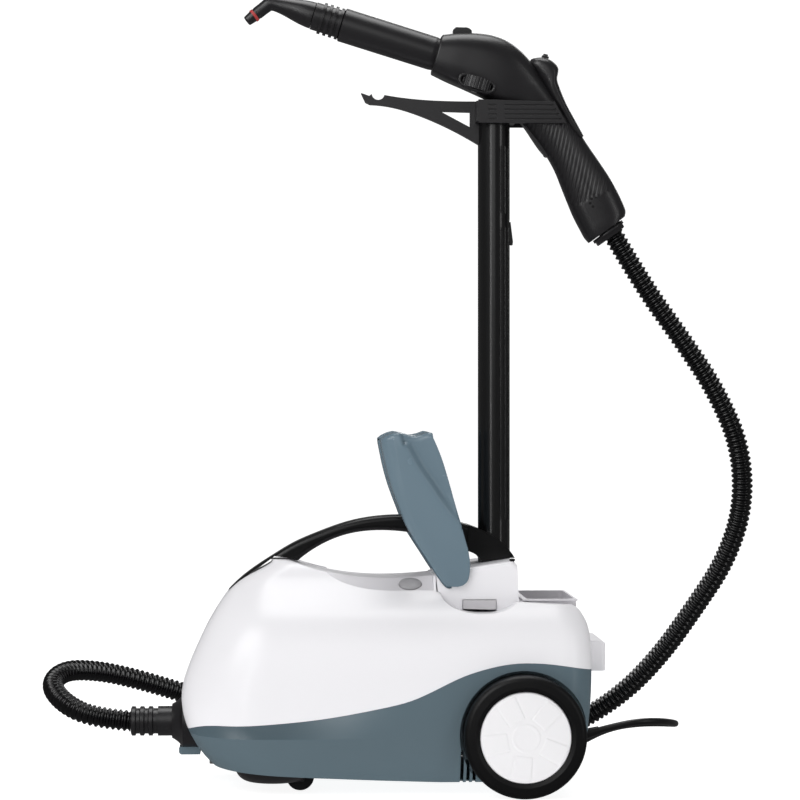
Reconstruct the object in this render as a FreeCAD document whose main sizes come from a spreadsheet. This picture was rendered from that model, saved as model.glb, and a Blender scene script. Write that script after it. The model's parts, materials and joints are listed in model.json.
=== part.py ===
"""Canister steam cleaner with a stowed wand, a steam gun in its cradle and an open lid.

The driving dimensions are in the sheet Dims, in millimetres and degrees.  Stations along X
are counted from a point under the middle of the cleaner, +X to the rear and -Y to the side
that carries the power button.  When every piece is built, all of them are moved together so
that the middle of the cleaner's own box stands on the origin.
"""
import FreeCAD, Part
import math
import os

from FreeCAD import Placement, Rotation, Vector

X_AXIS = Vector(1, 0, 0)
Y_AXIS = Vector(0, 1, 0)
Z_AXIS = Vector(0, 0, 1)

doc = FreeCAD.newDocument("SteamCleaner")
sheet = doc.addObject("Spreadsheet::Sheet", "Dims")

DRIVING = {
    # housing
    "wall": 2.5,
    "tower_half_width": 62,
    "tower_wall": 3,
    "panel_thickness": 3,
    "handle_width": 30,
    "bin_half_width": 58,
    "bin_wall": 2,
    # lid
    "lid_half_width": 68,
    "lid_wall": 3.5,
    "lid_slot_width": 42,
    "lid_pivot_x": 18,
    "lid_pivot_z": 207,
    "lid_pin_radius": 3,
    # rear wheels
    "wheel_radius": 59,
    "wheel_x": 77.5,
    "wheel_inner_y": 101,
    "wheel_width": 30,
    "arch_radius": 62,
    "axle_radius": 4,
    "hub_radius": 44,
    # casters
    "caster_x": -163,
    "caster_y": 53,
    "caster_trail": 26,
    "caster_radius": 13.5,
    "caster_tread": 12,
    "well_radius": 42.5,
    # wand and its holder
    "wand_x": 57,
    "wand_radius": 16,
    "wand_wall": 1.6,
    "wand_foot_z": 150,
    "wand_joint_z": 561,
    "wand_top_z": 657.6,
    "cradle_half_gap": 19,
    "cradle_wall": 5,
    # steam gun and nozzle
    "gun_head_half_width": 24,
    "gun_grip_half_width": 17,
    "gun_wall": 2.5,
    "nozzle_tilt": 17.2,
    "nozzle_radius": 17,
    "mouth_radius": 5.2,
    "mouth_length": 8,
    "spigot_radius": 10,
    "dial_radius": 17,
    # fits
    "running_gap": 0.06,
    "moving_gap": 0.4,
    # outlet, hose and cord
    "flange_radius": 27.5,
    "boiler_radius": 52,
    "boiler_x": -55,
    "hose_radius": 10.75,
    "cord_radius": 3.3,
}
for row, (alias, value) in enumerate(DRIVING.items(), start=1):
    sheet.set(f"A{row}", alias)
    sheet.set(f"B{row}", str(value))
    sheet.setAlias(f"B{row}", alias)
doc.recompute()

SUBPARTS = []
CORD_PIECES = []


def dim(alias):
    """The number that the sheet holds for one driving dimension."""
    return float(getattr(sheet, alias))


# ---------------------------------------------------------------- helpers


def bind(thing, **expressions):
    """Ties properties of one document object to expressions over the sheet."""
    for name, expression in expressions.items():
        thing.setExpression(name, expression)
    return thing


def subpart(name, thing):
    """Marks a document object as one sub-part and names its file."""
    thing.Label = name
    SUBPARTS.append(thing)
    return thing


def cord_piece(name, thing):
    """A sub-part that belongs to a free cord, so it doesn't set the datum."""
    CORD_PIECES.append(thing)
    return subpart(name, thing)


def runs(*parts):
    """Sketch curves: two points make a line, three an arc, more a smooth curve."""
    curves = []
    for points in parts:
        corners = [Vector(u, v, 0) for u, v in points]
        if len(corners) == 2:
            curves.append(Part.LineSegment(*corners))
        elif len(corners) == 3:
            curves.append(Part.Arc(*corners))
        else:
            smooth = Part.BSplineCurve()
            smooth.interpolate(corners)
            curves.append(smooth)
    return curves


def closed(points):
    """The straight sides of a closed outline."""
    return runs(*[(a, b) for a, b in zip(points, points[1:] + points[:1])])


def inset(points, distance):
    """A closed outline, listed clockwise, with each point moved inward by about distance."""
    moved = []
    for before, here, after in zip(points[-1:] + points[:-1], points, points[1:] + points[:1]):
        along = Vector(after[0] - before[0], after[1] - before[1], 0).normalize()
        moved.append((here[0] + along.y * distance, here[1] - along.x * distance))
    return moved


def origin_plane(body, role):
    return next(f for f in body.Origin.OriginFeatures if f.Role == role)


def sketch(body, role, curves, offset=0.0):
    """A sketch on one of the body's own origin planes, offset along the plane's normal."""
    drawn = body.newObject("Sketcher::SketchObject", "Outline")
    drawn.AttachmentSupport = [(origin_plane(body, role), "")]
    drawn.MapMode = "FlatFace"
    drawn.AttachmentOffset = Placement(Vector(0, 0, offset), Rotation())
    drawn.addGeometry(curves, False)
    return drawn


def pad(curves, role, length, offset=0.0, middle=True):
    """A body with one padded outline; length is an expression over the sheet."""
    body = doc.addObject("PartDesign::Body", "Piece")
    feature = body.newObject("PartDesign::Pad", "Pad")
    feature.Profile = sketch(body, role, curves, offset)
    feature.Midplane = middle
    bind(feature, Length=str(length))
    doc.recompute()
    return body


def side_pad(curves, length, offset=0.0, middle=True):
    """An outline in X and Z, padded across Y."""
    return pad(curves, "XZ_Plane", length, offset, middle)


def plan_pad(curves, length, base):
    """An outline in X and Y, padded up from base."""
    return pad(curves, "XY_Plane", length, base, False)


def spun(curves, role="XZ_Plane", axis="V_Axis"):
    """A body with one outline turned a full circle about an axis of its sketch."""
    body = doc.addObject("PartDesign::Body", "Piece")
    profile = sketch(body, role, curves)
    feature = body.newObject("PartDesign::Revolution", "Turned")
    feature.Profile = profile
    feature.ReferenceAxis = (profile, [axis])
    feature.Angle = 360
    doc.recompute()
    return body


def placed(thing, x, y, z, axis=Z_AXIS, angle=0):
    """Puts a document object at a station, turned by angle degrees about axis."""
    thing.Placement = Placement(Vector(x, y, z), Rotation(axis, angle))
    return thing


def seated(thing, at, axis, angle, along=0.0):
    """Puts a thing at a station on a turned axis, and along that axis by a distance."""
    turned = Placement(Vector(*at), Rotation(axis, angle))
    thing.Placement = turned.multiply(Placement(Vector(0, 0, along), Rotation()))
    return thing


def cylinder(radius, height, x, y, z, axis=Z_AXIS, angle=0):
    """A cylinder from its base centre; radius and height are expressions."""
    made = doc.addObject("Part::Cylinder", "Cylinder")
    bind(made, Radius=str(radius), Height=str(height))
    return placed(made, x, y, z, axis, angle)


def along_y(radius, length, x, y, z):
    """A cylinder along Y, from y - length/2 to y + length/2; length is a number."""
    return cylinder(radius, length, x, y + length / 2, z, X_AXIS, 90)


def along_x(radius, length, x, y, z):
    """A cylinder along X from x; length is a number."""
    return cylinder(radius, length, x, y, z, Y_AXIS, 90)


def box(length, width, height, x, y, z):
    """A box with its lowest corner at the given station."""
    made = doc.addObject("Part::Box", "Box")
    bind(made, Length=str(length), Width=str(width), Height=str(height))
    return placed(made, x, y, z)


def centred_box(x0, x1, half_width, z0, z1):
    """A box that is symmetric across Y; half_width is an expression."""
    made = doc.addObject("Part::Box", "Box")
    bind(made, Length=str(x1 - x0), Width=f"2 * ({half_width})", Height=str(z1 - z0))
    made.Placement.Base = Vector(x0, 0, z0)
    made.setExpression("Placement.Base.y", f"-({half_width})")
    return made


def fused(*things):
    made = doc.addObject("Part::MultiFuse", "Fused")
    made.Shapes = list(things)
    made.Refine = True
    return made


def common(*things):
    made = doc.addObject("Part::MultiCommon", "Common")
    made.Shapes = list(things)
    return made


def cut(base, *tools):
    """The base less every tool."""
    made = doc.addObject("Part::Cut", "Cut")
    made.Base = base
    made.Tool = tools[0] if len(tools) == 1 else fused(*tools)
    made.Refine = True
    return made


def rounded(thing, radius, chosen):
    """A Part fillet on the edges of a document object that the test chosen picks."""
    doc.recompute()
    made = doc.addObject("Part::Fillet", "Rounded")
    made.Base = thing
    made.Edges = [(i, radius, radius) for i, edge in enumerate(thing.Shape.Edges, 1) if chosen(edge)]
    return made


def on_side(half_width):
    """Picks the edges that lie wholly in the planes y = +-half_width."""
    return lambda edge: all(abs(abs(v.Y) - half_width) < 0.01 for v in edge.Vertexes) and (
        abs(abs(edge.CenterOfMass.y) - half_width) < 0.01
    )


def tube_path(points, radius_share=0.45):
    """Straight runs joined by tangent arcs, and the radius of each arc."""
    corners = [Vector(*p) for p in points]
    edges, radii, start = [], [], corners[0]
    for before, here, after in zip(corners, corners[1:], corners[2:]):
        back, ahead = (before - here), (after - here)
        shorter = min(back.Length, ahead.Length)
        back.normalize()
        ahead.normalize()
        half_turn = (math.pi - back.getAngle(ahead)) / 2
        radius = radius_share * shorter / math.tan(half_turn)
        reach = radius_share * shorter
        bisector = (back + ahead).normalize()
        centre = here + bisector * (radius / math.cos(half_turn))
        first, last = here + back * reach, here + ahead * reach
        edges.append(Part.LineSegment(start, first).toShape())
        edges.append(Part.Arc(first, centre - bisector * radius, last).toShape())
        radii.append(round(radius, 1))
        start = last
    edges.append(Part.LineSegment(start, corners[-1]).toShape())
    return Part.Wire(edges), radii


def round_tube(name, points, radius, bore=0.0):
    """A round rod or pipe along straight runs and arcs, checked against section times length."""
    path, radii = tube_path(points)
    first = Vector(*points[0])
    ahead = (Vector(*points[1]) - first).normalize()
    solid = path.makePipeShell([Part.Wire(Part.makeCircle(radius, first, ahead))], True, False)
    if bore:
        inner = path.makePipeShell([Part.Wire(Part.makeCircle(bore, first, ahead))], True, False)
        solid = solid.cut(inner)
    section = math.pi * (radius**2 - bore**2)
    print(f"{name}: length {path.Length:.0f} mm, volume over section times length "
          f"{solid.Volume / (section * path.Length):.4f}, radii {radii}")
    made = doc.addObject("Part::Feature", "Tube")
    made.Shape = solid
    return made


# ---------------------------------------------------------------- housing

SHELL_LEVELS = [
    # height, half width, front, rear
    (12, 92, -205, 121), (24, 103, -222, 132), (46, 111, -240, 139), (74, 113.5, -251.5, 143),
    (102, 112.8, -252, 145), (135, 109, -240, 145.5), (160, 100, -228, 143.5), (178.5, 84, -217, 137),
    (194, 62, -205.5, 131), (208.5, 45, -186, 128), (223, 22, -166, 125),
]
TOP_LINE = [(-300, 230), (-162.3, 225.5)]
SADDLE_LINE = [(-162.3, 225.5), (-139, 220), (-110.5, 211.6), (-83, 207), (-55, 205.5), (-17, 207.5),
               (-3, 208.5)]
SCOOP_LINE = [(-1.5, 196), (6, 183), (15, 178), (26, 175), (48, 174), (62, 177), (74, 184)]
REAR_LINE = [(74, 184), (122, 181.3), (134, 177.5), (140, 168.5), (160, 150)]
BASE_LINE = [(160, 9.5), (46, 10), (-62, 14.5), (-124, 17.5), (-198, 22), (-300, 30)]


def level_outline(half, front, rear):
    """One level of the shell seen from above: a rectangle with large round front corners."""
    nose, heel = 0.66 * half, min(30, 0.4 * half)
    cos45 = math.sqrt(0.5)
    corners = []
    for x, y, radius, sx, sy in ((front, -half, nose, 1, 1), (rear, -half, heel, -1, 1),
                                 (rear, half, heel, -1, -1), (front, half, nose, 1, -1)):
        centre = (x + sx * radius, y + sy * radius)
        on_end = (x, centre[1])
        middle = (centre[0] - sx * radius * cos45, centre[1] - sy * radius * cos45)
        on_side_line = (centre[0], y)
        corners.append((on_end, middle, on_side_line) if sx * sy > 0 else (on_side_line, middle, on_end))
    joined = []
    for corner, following in zip(corners, corners[1:] + corners[:1]):
        joined += [corner, (corner[-1], following[0])]
    return runs(*joined)


def slope_reach(values, heights, i, depth):
    """How far a wall that leans moves sideways at one level when it is inset by depth."""
    low, high = max(i - 1, 0), min(i + 1, len(values) - 1)
    lean = math.atan2(abs(values[high] - values[low]), heights[high] - heights[low])
    return depth / math.cos(lean)


def trimmed_side(depth):
    """The line of the saddle, the scoop and the rear over the shell, and of its base, inset."""
    groups = [TOP_LINE, SADDLE_LINE[1:], SCOOP_LINE, REAR_LINE[1:], BASE_LINE]
    flat = inset([p for group in groups for p in group], depth)
    parts, start = [], 0
    for group in groups:
        parts.append(flat[start:start + len(group)])
        start += len(group)
    curves = []
    for part, following in zip(parts, parts[1:] + parts[:1]):
        smooth = part in (parts[1], parts[2], parts[3])
        curves += runs(part) if smooth else runs(*zip(part, part[1:]))
        curves += runs((part[-1], following[0]))
    return curves


def housing_block(depth):
    """The housing as a solid block: level outlines lofted upward, trimmed by the side lines."""
    heights, halves, fronts, rears = zip(*SHELL_LEVELS)
    body = doc.addObject("PartDesign::Body", "Piece")
    sections = []
    for i, z in enumerate(heights):
        half = halves[i] - slope_reach(halves, heights, i, depth)
        front = fronts[i] + slope_reach(fronts, heights, i, depth)
        rear = rears[i] - slope_reach(rears, heights, i, depth)
        sections.append(sketch(body, "XY_Plane", level_outline(half, front, rear), z))
    loft = body.newObject("PartDesign::AdditiveLoft", "Loft")
    loft.Profile = sections[0]
    loft.Sections = sections[1:]
    return common(body, side_pad(trimmed_side(depth), 260))


SEAM = [(-262, 50), (-253, 56), (-240, 64), (-225, 68), (-205, 69), (-165, 71), (-112, 76.5), (-59, 86),
        (-31, 93), (-2, 106), (21, 116.5), (42, 123), (64, 127.3), (86, 128.2), (108, 126.6),
        (131, 123), (152, 119)]
PANEL_STATIONS = [
    # x, half width, edge height, ridge half width, ridge height
    (-150, 20, 221, 12, 223.5),
    (-110, 43, 208, 28, 211.5),
    (-72, 58, 195.5, 34, 206),
    (-35, 60.5, 193.5, 35, 205.8),
    (-6.5, 60.5, 195, 35, 208),
]


def below_seam(side):
    """Everything under (side -1) or over (side +1) the line where the two shells meet."""
    level = -20 if side < 0 else 260
    left, right = (SEAM[0][0], level), (SEAM[-1][0], level)
    return side_pad(runs(SEAM, (SEAM[-1], right), (right, left), (left, SEAM[0])), 280)


def panel_loft(top_rise, drop, spread):
    """A loft along the saddle, from drop under the panel's face to top_rise over it."""
    body = doc.addObject("PartDesign::Body", "Piece")
    sections = []
    for x, half, edge, ridge, crown in PANEL_STATIONS:
        half += spread
        loop = [(-half, edge - drop), (-half, edge + top_rise), (-ridge, crown + top_rise),
                (ridge, crown + top_rise), (half, edge + top_rise), (half, edge - drop),
                (ridge, crown - drop), (-ridge, crown - drop)]
        sections.append(sketch(body, "YZ_Plane", closed(loop), x))
    loft = body.newObject("PartDesign::AdditiveLoft", "Loft")
    loft.Profile = sections[0]
    loft.Sections = sections[1:]
    doc.recompute()
    return body


def arches(radius, depth_y):
    """The two round recesses over the rear wheels, from |y| = depth_y outward."""
    return [along_y(radius, 60, dim("wheel_x"), side * (depth_y + 30), dim("wheel_radius"))
            for side in (-1, 1)]


def caster_wells(grow):
    """The two round recesses that the casters swivel in."""
    roof = dim("caster_radius") * 2 + 5 + grow
    return [cylinder(f"Dims.well_radius + {grow}", roof + 5, dim("caster_x"),
                     side * dim("caster_y"), -5) for side in (-1, 1)]


POSTS = [(-222, 30), (-222, -30), (5, 78), (5, -78), (118, 70), (118, -70)]
OUTLET_Z = 61.5


def lower_shell():
    wall = dim("wall")
    outer = cut(housing_block(0), *arches("Dims.arch_radius", dim("wheel_inner_y") - 3),
                *caster_wells(0))
    inner = cut(housing_block(wall), *arches("Dims.arch_radius + Dims.wall",
                dim("wheel_inner_y") - 3 - wall), *caster_wells(wall))
    skin = common(cut(outer, inner), below_seam(-1))
    posts = common(housing_block(0.5), fused(*[cylinder(6, 48, x, y, 5) for x, y in POSTS]))
    bosses = [along_y(9, 12, dim("wheel_x"), side * (dim("wheel_inner_y") - 3 - wall - 5.5),
                      dim("wheel_radius")) for side in (-1, 1)]
    stems = [cylinder(9, 14, dim("caster_x"), side * dim("caster_y"),
                      dim("caster_radius") * 2 + 5) for side in (-1, 1)]
    bracket = rounded(centred_box(-257, -236, 13, OUTLET_Z - 32, OUTLET_Z - 21), 3,
                      lambda e: e.CenterOfMass.x < -256.9)
    solid = fused(skin, posts, *bosses, *stems, cut(bracket, housing_block(wall)))
    axle_hole = along_y("Dims.axle_radius", 260, dim("wheel_x"), 0, dim("wheel_radius"))
    screw_holes = [cylinder(2.2, 60, x, y, 0) for x, y in POSTS]
    heads = [cylinder(5, 26, x, y, 0) for x, y in POSTS]
    stem_holes = [cylinder("4 + Dims.running_gap", 30, dim("caster_x"), side * dim("caster_y"), 20)
                  for side in (-1, 1)]
    slots = [box(3.2, 32, 32 - 9 * i, 16.6 + 6 * i, side * 100 - 16, 12)
             for i in range(3) for side in (-1, 1)]
    outlet = along_x("Dims.flange_radius + 0.1", 26, -262, 0, OUTLET_Z)
    gland = seated(cylinder(6.3, 40, 0, 0, 0), GLAND, Y_AXIS, GLAND_TILT, -9)
    subpart("lower_shell", cut(solid, axle_hole, *screw_holes, *heads, *stem_holes, *slots, outlet,
                               gland))
    screws = [fused(cylinder(4.2, 3, x, y, 23), cylinder(2.2, 30, x, y, 26)) for x, y in POSTS]
    subpart("housing_screws", fused(*screws))


def upper_shell():
    wall = dim("wall")
    outer = cut(housing_block(0), *arches("Dims.arch_radius", dim("wheel_inner_y") - 3))
    skin = common(cut(outer, housing_block(wall)), below_seam(1))
    tower_hole = centred_box(-4, 78.4, "Dims.tower_half_width + 0.1", 150, 240)
    bin_hole = centred_box(82.8, 134.2, "Dims.bin_half_width + 0.1", 150, 240)
    outlet = along_x("Dims.flange_radius + 0.1", 26, -262, 0, OUTLET_Z)
    subpart("upper_shell", cut(skin, panel_loft(40, dim("panel_thickness"), 0.15), tower_hole,
                               bin_hole, outlet))


def top_panel():
    hole = seated(cylinder("11 + Dims.moving_gap", 30, 0, 0, 0), BUTTON, X_AXIS, BUTTON_SLOPE, -15)
    subpart("top_panel", cut(panel_loft(0, dim("panel_thickness"), 0), hole))


BUTTON = (-29, -47.5, 199.7)
BUTTON_SLOPE = 26


def power_button():
    """A round push button square to the sloping side of the panel."""
    cap = spun(runs([(0, -6), (11, -6)], [(11, -6), (11, 1.6)], [(11, 1.6), (7, 3), (2, 3.4)],
                    [(2, 3.4), (0, 3.4)], [(0, 3.4), (0, -6)]))
    subpart("power_button", placed(cap, *BUTTON, X_AXIS, BUTTON_SLOPE))
    unit = fused(box(20, 16, 12, -10, -8, -24.2), cylinder(3, 3.4, 0, 0, -12.6))
    subpart("power_switch", placed(unit, *BUTTON, X_AXIS, BUTTON_SLOPE))


TOWER_SIDE = [(0, 160), (-3.8, 208.4), (24, 216.5), (71, 223.6), (75.2, 219.5), (78, 160)]


def tower():
    half = dim("tower_half_width")
    outer = rounded(side_pad(closed(TOWER_SIDE), "2 * Dims.tower_half_width"), 5,
                    lambda e: on_side(half)(e) and e.CenterOfMass.z > 200)
    inner_loop = inset(TOWER_SIDE, dim("tower_wall"))
    inner_loop = [(x, 150 if z < 180 else z) for x, z in inner_loop]
    inner = side_pad(closed(inner_loop), "2 * (Dims.tower_half_width - Dims.tower_wall)")
    socket = cylinder("Dims.wand_radius + 3", 76, dim("wand_x"), 0, 145)
    block = fused(cut(outer, inner), common(socket, side_pad(closed(
        [(0, 140), (-3.8, 207), (24, 215), (71, 222), (75, 219), (78, 140)]), 100)))
    bore = cylinder("Dims.wand_radius + Dims.running_gap", 80, dim("wand_x"), 0, 150)
    pins = along_y("Dims.lid_pin_radius + Dims.running_gap", 140, dim("lid_pivot_x"), 0,
                   dim("lid_pivot_z"))
    window = box(33.2, 10, 12.2, 21.4, -66, 173.8)
    subpart("tower", cut(block, bore, pins, window))


def catch_tab():
    """The grey finger tab on the tower's side that lets the closed lid go."""
    tab = side_pad(runs([(22, 177), (54, 176.2)], [(54, 176.2), (54, 185.4)], [(54, 185.4), (22, 185.6)],
                        [(22, 185.6), (22, 177)]), 6, 58.5, False)
    plate = side_pad(closed([(18, 176.6), (58, 176.2), (58, 189), (18, 189)]), 1.5, 56.5, False)
    subpart("catch_tab", fused(tab, plate, side_pad(closed([(24, 178), (52, 178), (52, 184), (24, 184)]),
                                                    2, 57.5, False)))


HANDLE_OUTER = [(-208, 192.4), (-190, 209), (-162.3, 227.6), (-144, 238.5), (-120, 249), (-92, 259),
                (-64.3, 264.7), (-36.6, 266.4), (-5, 264.5), (25, 258.4), (44, 251.5), (60, 242.3),
                (69.5, 233.5), (76.5, 224)]
HANDLE_INNER = [(43, 221.5), (38, 227), (28, 231.5), (0, 243), (-29.2, 249.4), (-64.3, 251.2),
                (-92, 247), (-120, 235), (-139, 221.5)]


def handle():
    rear = [HANDLE_OUTER[-1], (70.6, 223.9), (43, 219.7), HANDLE_INNER[0]]
    front = [HANDLE_INNER[-1], (-150, 224.6), (-162.3, 225.9), HANDLE_OUTER[0]]
    outline = runs(HANDLE_OUTER, *zip(rear, rear[1:]), HANDLE_INNER, *zip(front, front[1:]))
    half = dim("handle_width") / 2
    grip = rounded(side_pad(outline, "Dims.handle_width"), 5,
                   lambda e: on_side(half)(e) and e.Length > 150)
    bore = cylinder("Dims.wand_radius + Dims.running_gap", 80, dim("wand_x"), 0, 200)
    cheeks = common(side_pad(outline, "2 * (Dims.wand_radius + 3.5)"), box(60, 60, 80, 30, -30, 200))
    subpart("carry_handle", cut(fused(grip, cheeks), bore))


LID_TOP = [(4.3, 199.3), (-6.4, 214.9), (-29.9, 251.4), (-39.3, 272.6), (-48.8, 298.9), (-55.9, 328.2),
           (-58.2, 340.9)]
LID_END = [(-58.2, 340.9), (-55, 344), (-42.3, 348.5), (-26.6, 344.8), (-9.3, 348.2)]
LID_EDGE = [(-9.3, 348.2), (0.1, 326.7), (7.6, 302.4), (18.8, 263.1), (26.8, 233.5), (28.6, 219.4)]
LID_TOE = [(28.6, 219.4), (26.5, 202.5), (4.3, 199.3)]


def lid():
    """A hollow cover with a slot down its whole middle, so that it closes round the wand.

    Its two sides are joined by the hinge rod, which runs through the tower.
    """
    half, wall = dim("lid_half_width"), dim("lid_wall")
    outer = rounded(side_pad(runs(LID_TOP, LID_END, LID_EDGE, LID_TOE), "2 * Dims.lid_half_width"), 6,
                    lambda e: on_side(half)(e) and e.CenterOfMass.x < -20)
    plate = [(x + wall, z + 1) for x, z in LID_TOP[:-1]]
    inner = side_pad(runs(plate, (plate[-1], (-50, 340)), ((-50, 340), (-12, 343)),
                          ((-12, 343), (60, 343)), ((60, 343), (60, 190)), ((60, 190), plate[0])),
                     "2 * (Dims.lid_half_width - Dims.lid_wall)")
    arm_gap = centred_box(-40, 60, "Dims.lid_half_width - Dims.lid_wall", 180, 236)
    slot = centred_box(-60, 20, "Dims.lid_slot_width / 2", 226, 360)
    hinge_rod = along_y("Dims.lid_pin_radius", 2 * half, dim("lid_pivot_x"), 0, dim("lid_pivot_z"))
    subpart("lid", fused(cut(outer, inner, arm_gap, slot), hinge_rod))


def accessory_bin():
    """The open tray behind the tower, with the tank's filler neck coming up through it."""
    outer = centred_box(83, 134, "Dims.bin_half_width", 126, 184)
    wall = dim("bin_wall")
    inner = centred_box(83 + wall, 134 - wall, "Dims.bin_half_width - Dims.bin_wall", 126 + wall, 190)
    lip_outer = centred_box(80.5, 134.5, "Dims.bin_half_width + 3", 184.3, 186)
    lip_inner = centred_box(83 + wall, 134 - wall, "Dims.bin_half_width - Dims.bin_wall", 183, 190)
    tray = rounded(cut(fused(outer, centred_box(83, 134, "Dims.bin_half_width", 180, 186)), inner), 6,
                   lambda e: abs(e.tangentAt(e.FirstParameter).z) > 0.99 and e.Length > 50)
    neck = cylinder(13.3, 20, 109, 32, 120)
    subpart("accessory_bin", cut(fused(tray, cut(lip_outer, lip_inner)), neck))


def water_tank():
    outer = rounded(centred_box(93, 133, 52, 34, 112), 8,
                    lambda e: abs(e.tangentAt(e.FirstParameter).z) > 0.99)
    inner = centred_box(95.5, 130.5, 49.5, 36.5, 109.5)
    neck = cylinder(13, 33, 109, 32, 110)
    outlet = along_x(3.2, 12, 86, 0, 44)
    solid = cut(fused(outer, neck), inner, cylinder(10, 60, 109, 32, 100))
    subpart("water_tank", cut(fused(solid, along_x(5, 8, 86, 0, 44)), outlet))
    ribs = [box(2, 3, 12, 108 + 17 * math.cos(math.radians(a)), 30.5 + 17 * math.sin(math.radians(a)), 143.5)
            for a in range(0, 360, 30)]
    cap = fused(cylinder(17, 14, 109, 32, 143.3), cylinder(9.6, 12, 109, 32, 133), *ribs)
    subpart("filler_cap", cap)


# ---------------------------------------------------------------- rear wheels


def rear_axle():
    """The steel rod that both wheels run on, with a push-on clip outside each hub."""
    rod = along_y("Dims.axle_radius", 2 * (dim("wheel_inner_y") + 24), dim("wheel_x"), 0,
                  dim("wheel_radius"))
    clips = []
    for side in (-1, 1):
        disc = along_y(8, 1.5, dim("wheel_x"), side * (dim("wheel_inner_y") + 19.5), dim("wheel_radius"))
        clips.append(cut(disc, along_y("Dims.axle_radius", 4, dim("wheel_x"),
                                       side * (dim("wheel_inner_y") + 19.5), dim("wheel_radius"))))
    subpart("rear_axle", fused(rod, *clips))


def rear_wheel(name, side):
    """One rear wheel: tyre, hub and hubcap, turned about the wheel's own axle line."""
    radius, width, hub = dim("wheel_radius"), dim("wheel_width"), dim("hub_radius")
    inner_y = dim("wheel_inner_y")
    turn = 180 if side > 0 else 0

    def mounted(thing):
        """Profiles run outward along +v from the wheel's inner face."""
        thing.Placement = Placement(Vector(dim("wheel_x"), side * inner_y, dim("wheel_radius")),
                                    Rotation(X_AXIS, 90) if side < 0 else Rotation(X_AXIS, -90))
        return thing

    tread = spun(runs([(hub, 1), (radius - 4, 1)], [(radius - 4, 1), (radius - 1.2, 2.2), (radius, 5)],
                      [(radius, 5), (radius, width - 7)],
                      [(radius, width - 7), (radius - 1, width - 3), (radius - 4.5, width - 0.6)],
                      [(radius - 4.5, width - 0.6), (hub + 4, width)], [(hub + 4, width), (hub, width - 1.5)],
                      [(hub, width - 1.5), (hub, 1)]))
    subpart(f"tyre_{name}", mounted(tread))
    bore = dim("axle_radius") + dim("running_gap")
    barrel = spun(closed([(bore, 0), (10, 0), (10, 9), (hub - 3, 9), (hub - 3, 2), (hub, 2),
                          (hub, width - 6), (hub - 3, width - 6), (hub - 3, 12), (10, 12), (10, 18),
                          (bore, 18)]))
    subpart(f"wheel_hub_{name}", mounted(barrel))
    face = spun(runs([(0, width - 5), (hub - 4, width - 5)], [(hub - 4, width - 5), (hub - 4, width - 9)],
                     [(hub - 4, width - 9), (hub - 3.2, width - 9)],
                     [(hub - 3.2, width - 9), (hub - 3.2, width - 5.8)],
                     [(hub - 3.2, width - 5.8), (hub - 0.2, width - 5.8)],
                     [(hub - 0.2, width - 5.8), (hub - 0.2, width - 1.6)],
                     [(hub - 0.2, width - 1.6), (hub / 2, width + 0.9), (3, width + 1.8)],
                     [(3, width + 1.8), (0, width + 1.8)], [(0, width + 1.8), (0, width - 5)]))
    ring = cut(cylinder(13.5, 1.2, 0, 0, width + 1.2), cylinder(11.5, 4, 0, 0, width))
    ribs = []
    for spoke in range(5):
        for spread in (-9, 9):
            rib = box(24, 1.6, 1.5, 0, -0.8, 0)
            rib.Placement = Placement(Vector(0, 0, width), Rotation(Z_AXIS, 72 * spoke + spread + 9 + turn))
            rib.Placement = rib.Placement.multiply(Placement(Vector(15, -0.8, 0), Rotation(Y_AXIS, 3)))
            ribs.append(rib)
    subpart(f"hubcap_{name}", mounted(fused(face, ring, *ribs)))


# ---------------------------------------------------------------- casters


def caster(name, side):
    """One swivel caster: a dished cover and fork in one piece with its stem, and a wheel on a pin."""
    x, y, trail = dim("caster_x"), side * dim("caster_y"), dim("caster_trail")
    radius, tread = dim("caster_radius"), dim("caster_tread")
    wheel_x = x + trail
    roof, rim, skin, low = 2 * radius + 4.4, 37.5, 2.0, 9.3
    dish = spun(runs([(0, low), (24, low)], [(24, low), (32, 12.5), (rim, 22)], [(rim, 22), (rim, roof)],
                     [(rim, roof), (0, roof)], [(0, roof), (0, roof - 2.6)],
                     [(0, roof - 2.6), (rim - skin, roof - 2.6)],
                     [(rim - skin, roof - 2.6), (rim - skin, 22.5)],
                     [(rim - skin, 22.5), (30.7, 14), (23.5, low + skin)],
                     [(23.5, low + skin), (0, low + skin)], [(0, low + skin), (0, low)]))
    dish = cut(placed(dish, x, y, 0), box(60, tread + 10, 30, x + 4, y - tread / 2 - 5, 5))
    arm_line = [(x - 12, roof - 2), (x - 4, 12), (wheel_x - 4, 8.5), (wheel_x + 4, 9.5),
                (wheel_x + 5, radius + 3), (wheel_x - 4, radius + 6), (x + 14, roof - 2)]
    arms = [side_pad(closed(arm_line), 2.8, -(y + flank * (tread / 2 + 1.9))) for flank in (-1, 1)]
    bridge = box(20, tread + 5, 6, x - 12, y - (tread + 5) / 2, roof - 8)
    stem = cylinder(4, 12, x, y, roof - 1)
    pin = along_y(2, tread + 7, wheel_x, y, radius)
    subpart(f"caster_fork_{name}", fused(dish, *arms, bridge, stem, pin))
    wheel = rounded(along_y("Dims.caster_radius", tread, wheel_x, y, radius), 1.5, lambda e: True)
    subpart(f"caster_wheel_{name}", cut(wheel, along_y("2 + Dims.running_gap", 30, wheel_x, y, radius)))


# ---------------------------------------------------------------- wand and holder


def flutes(z, length):
    """Fine raised lines up the front and rear of a tube."""
    reach = dim("wand_radius") + 0.2
    angles = [math.radians(a) for a in (-70, -50, -30, 30, 50, 70)]
    return [cylinder(1.1, length, dim("wand_x") + reach * math.cos(a), reach * math.sin(a), z)
            for a in angles]


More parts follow.
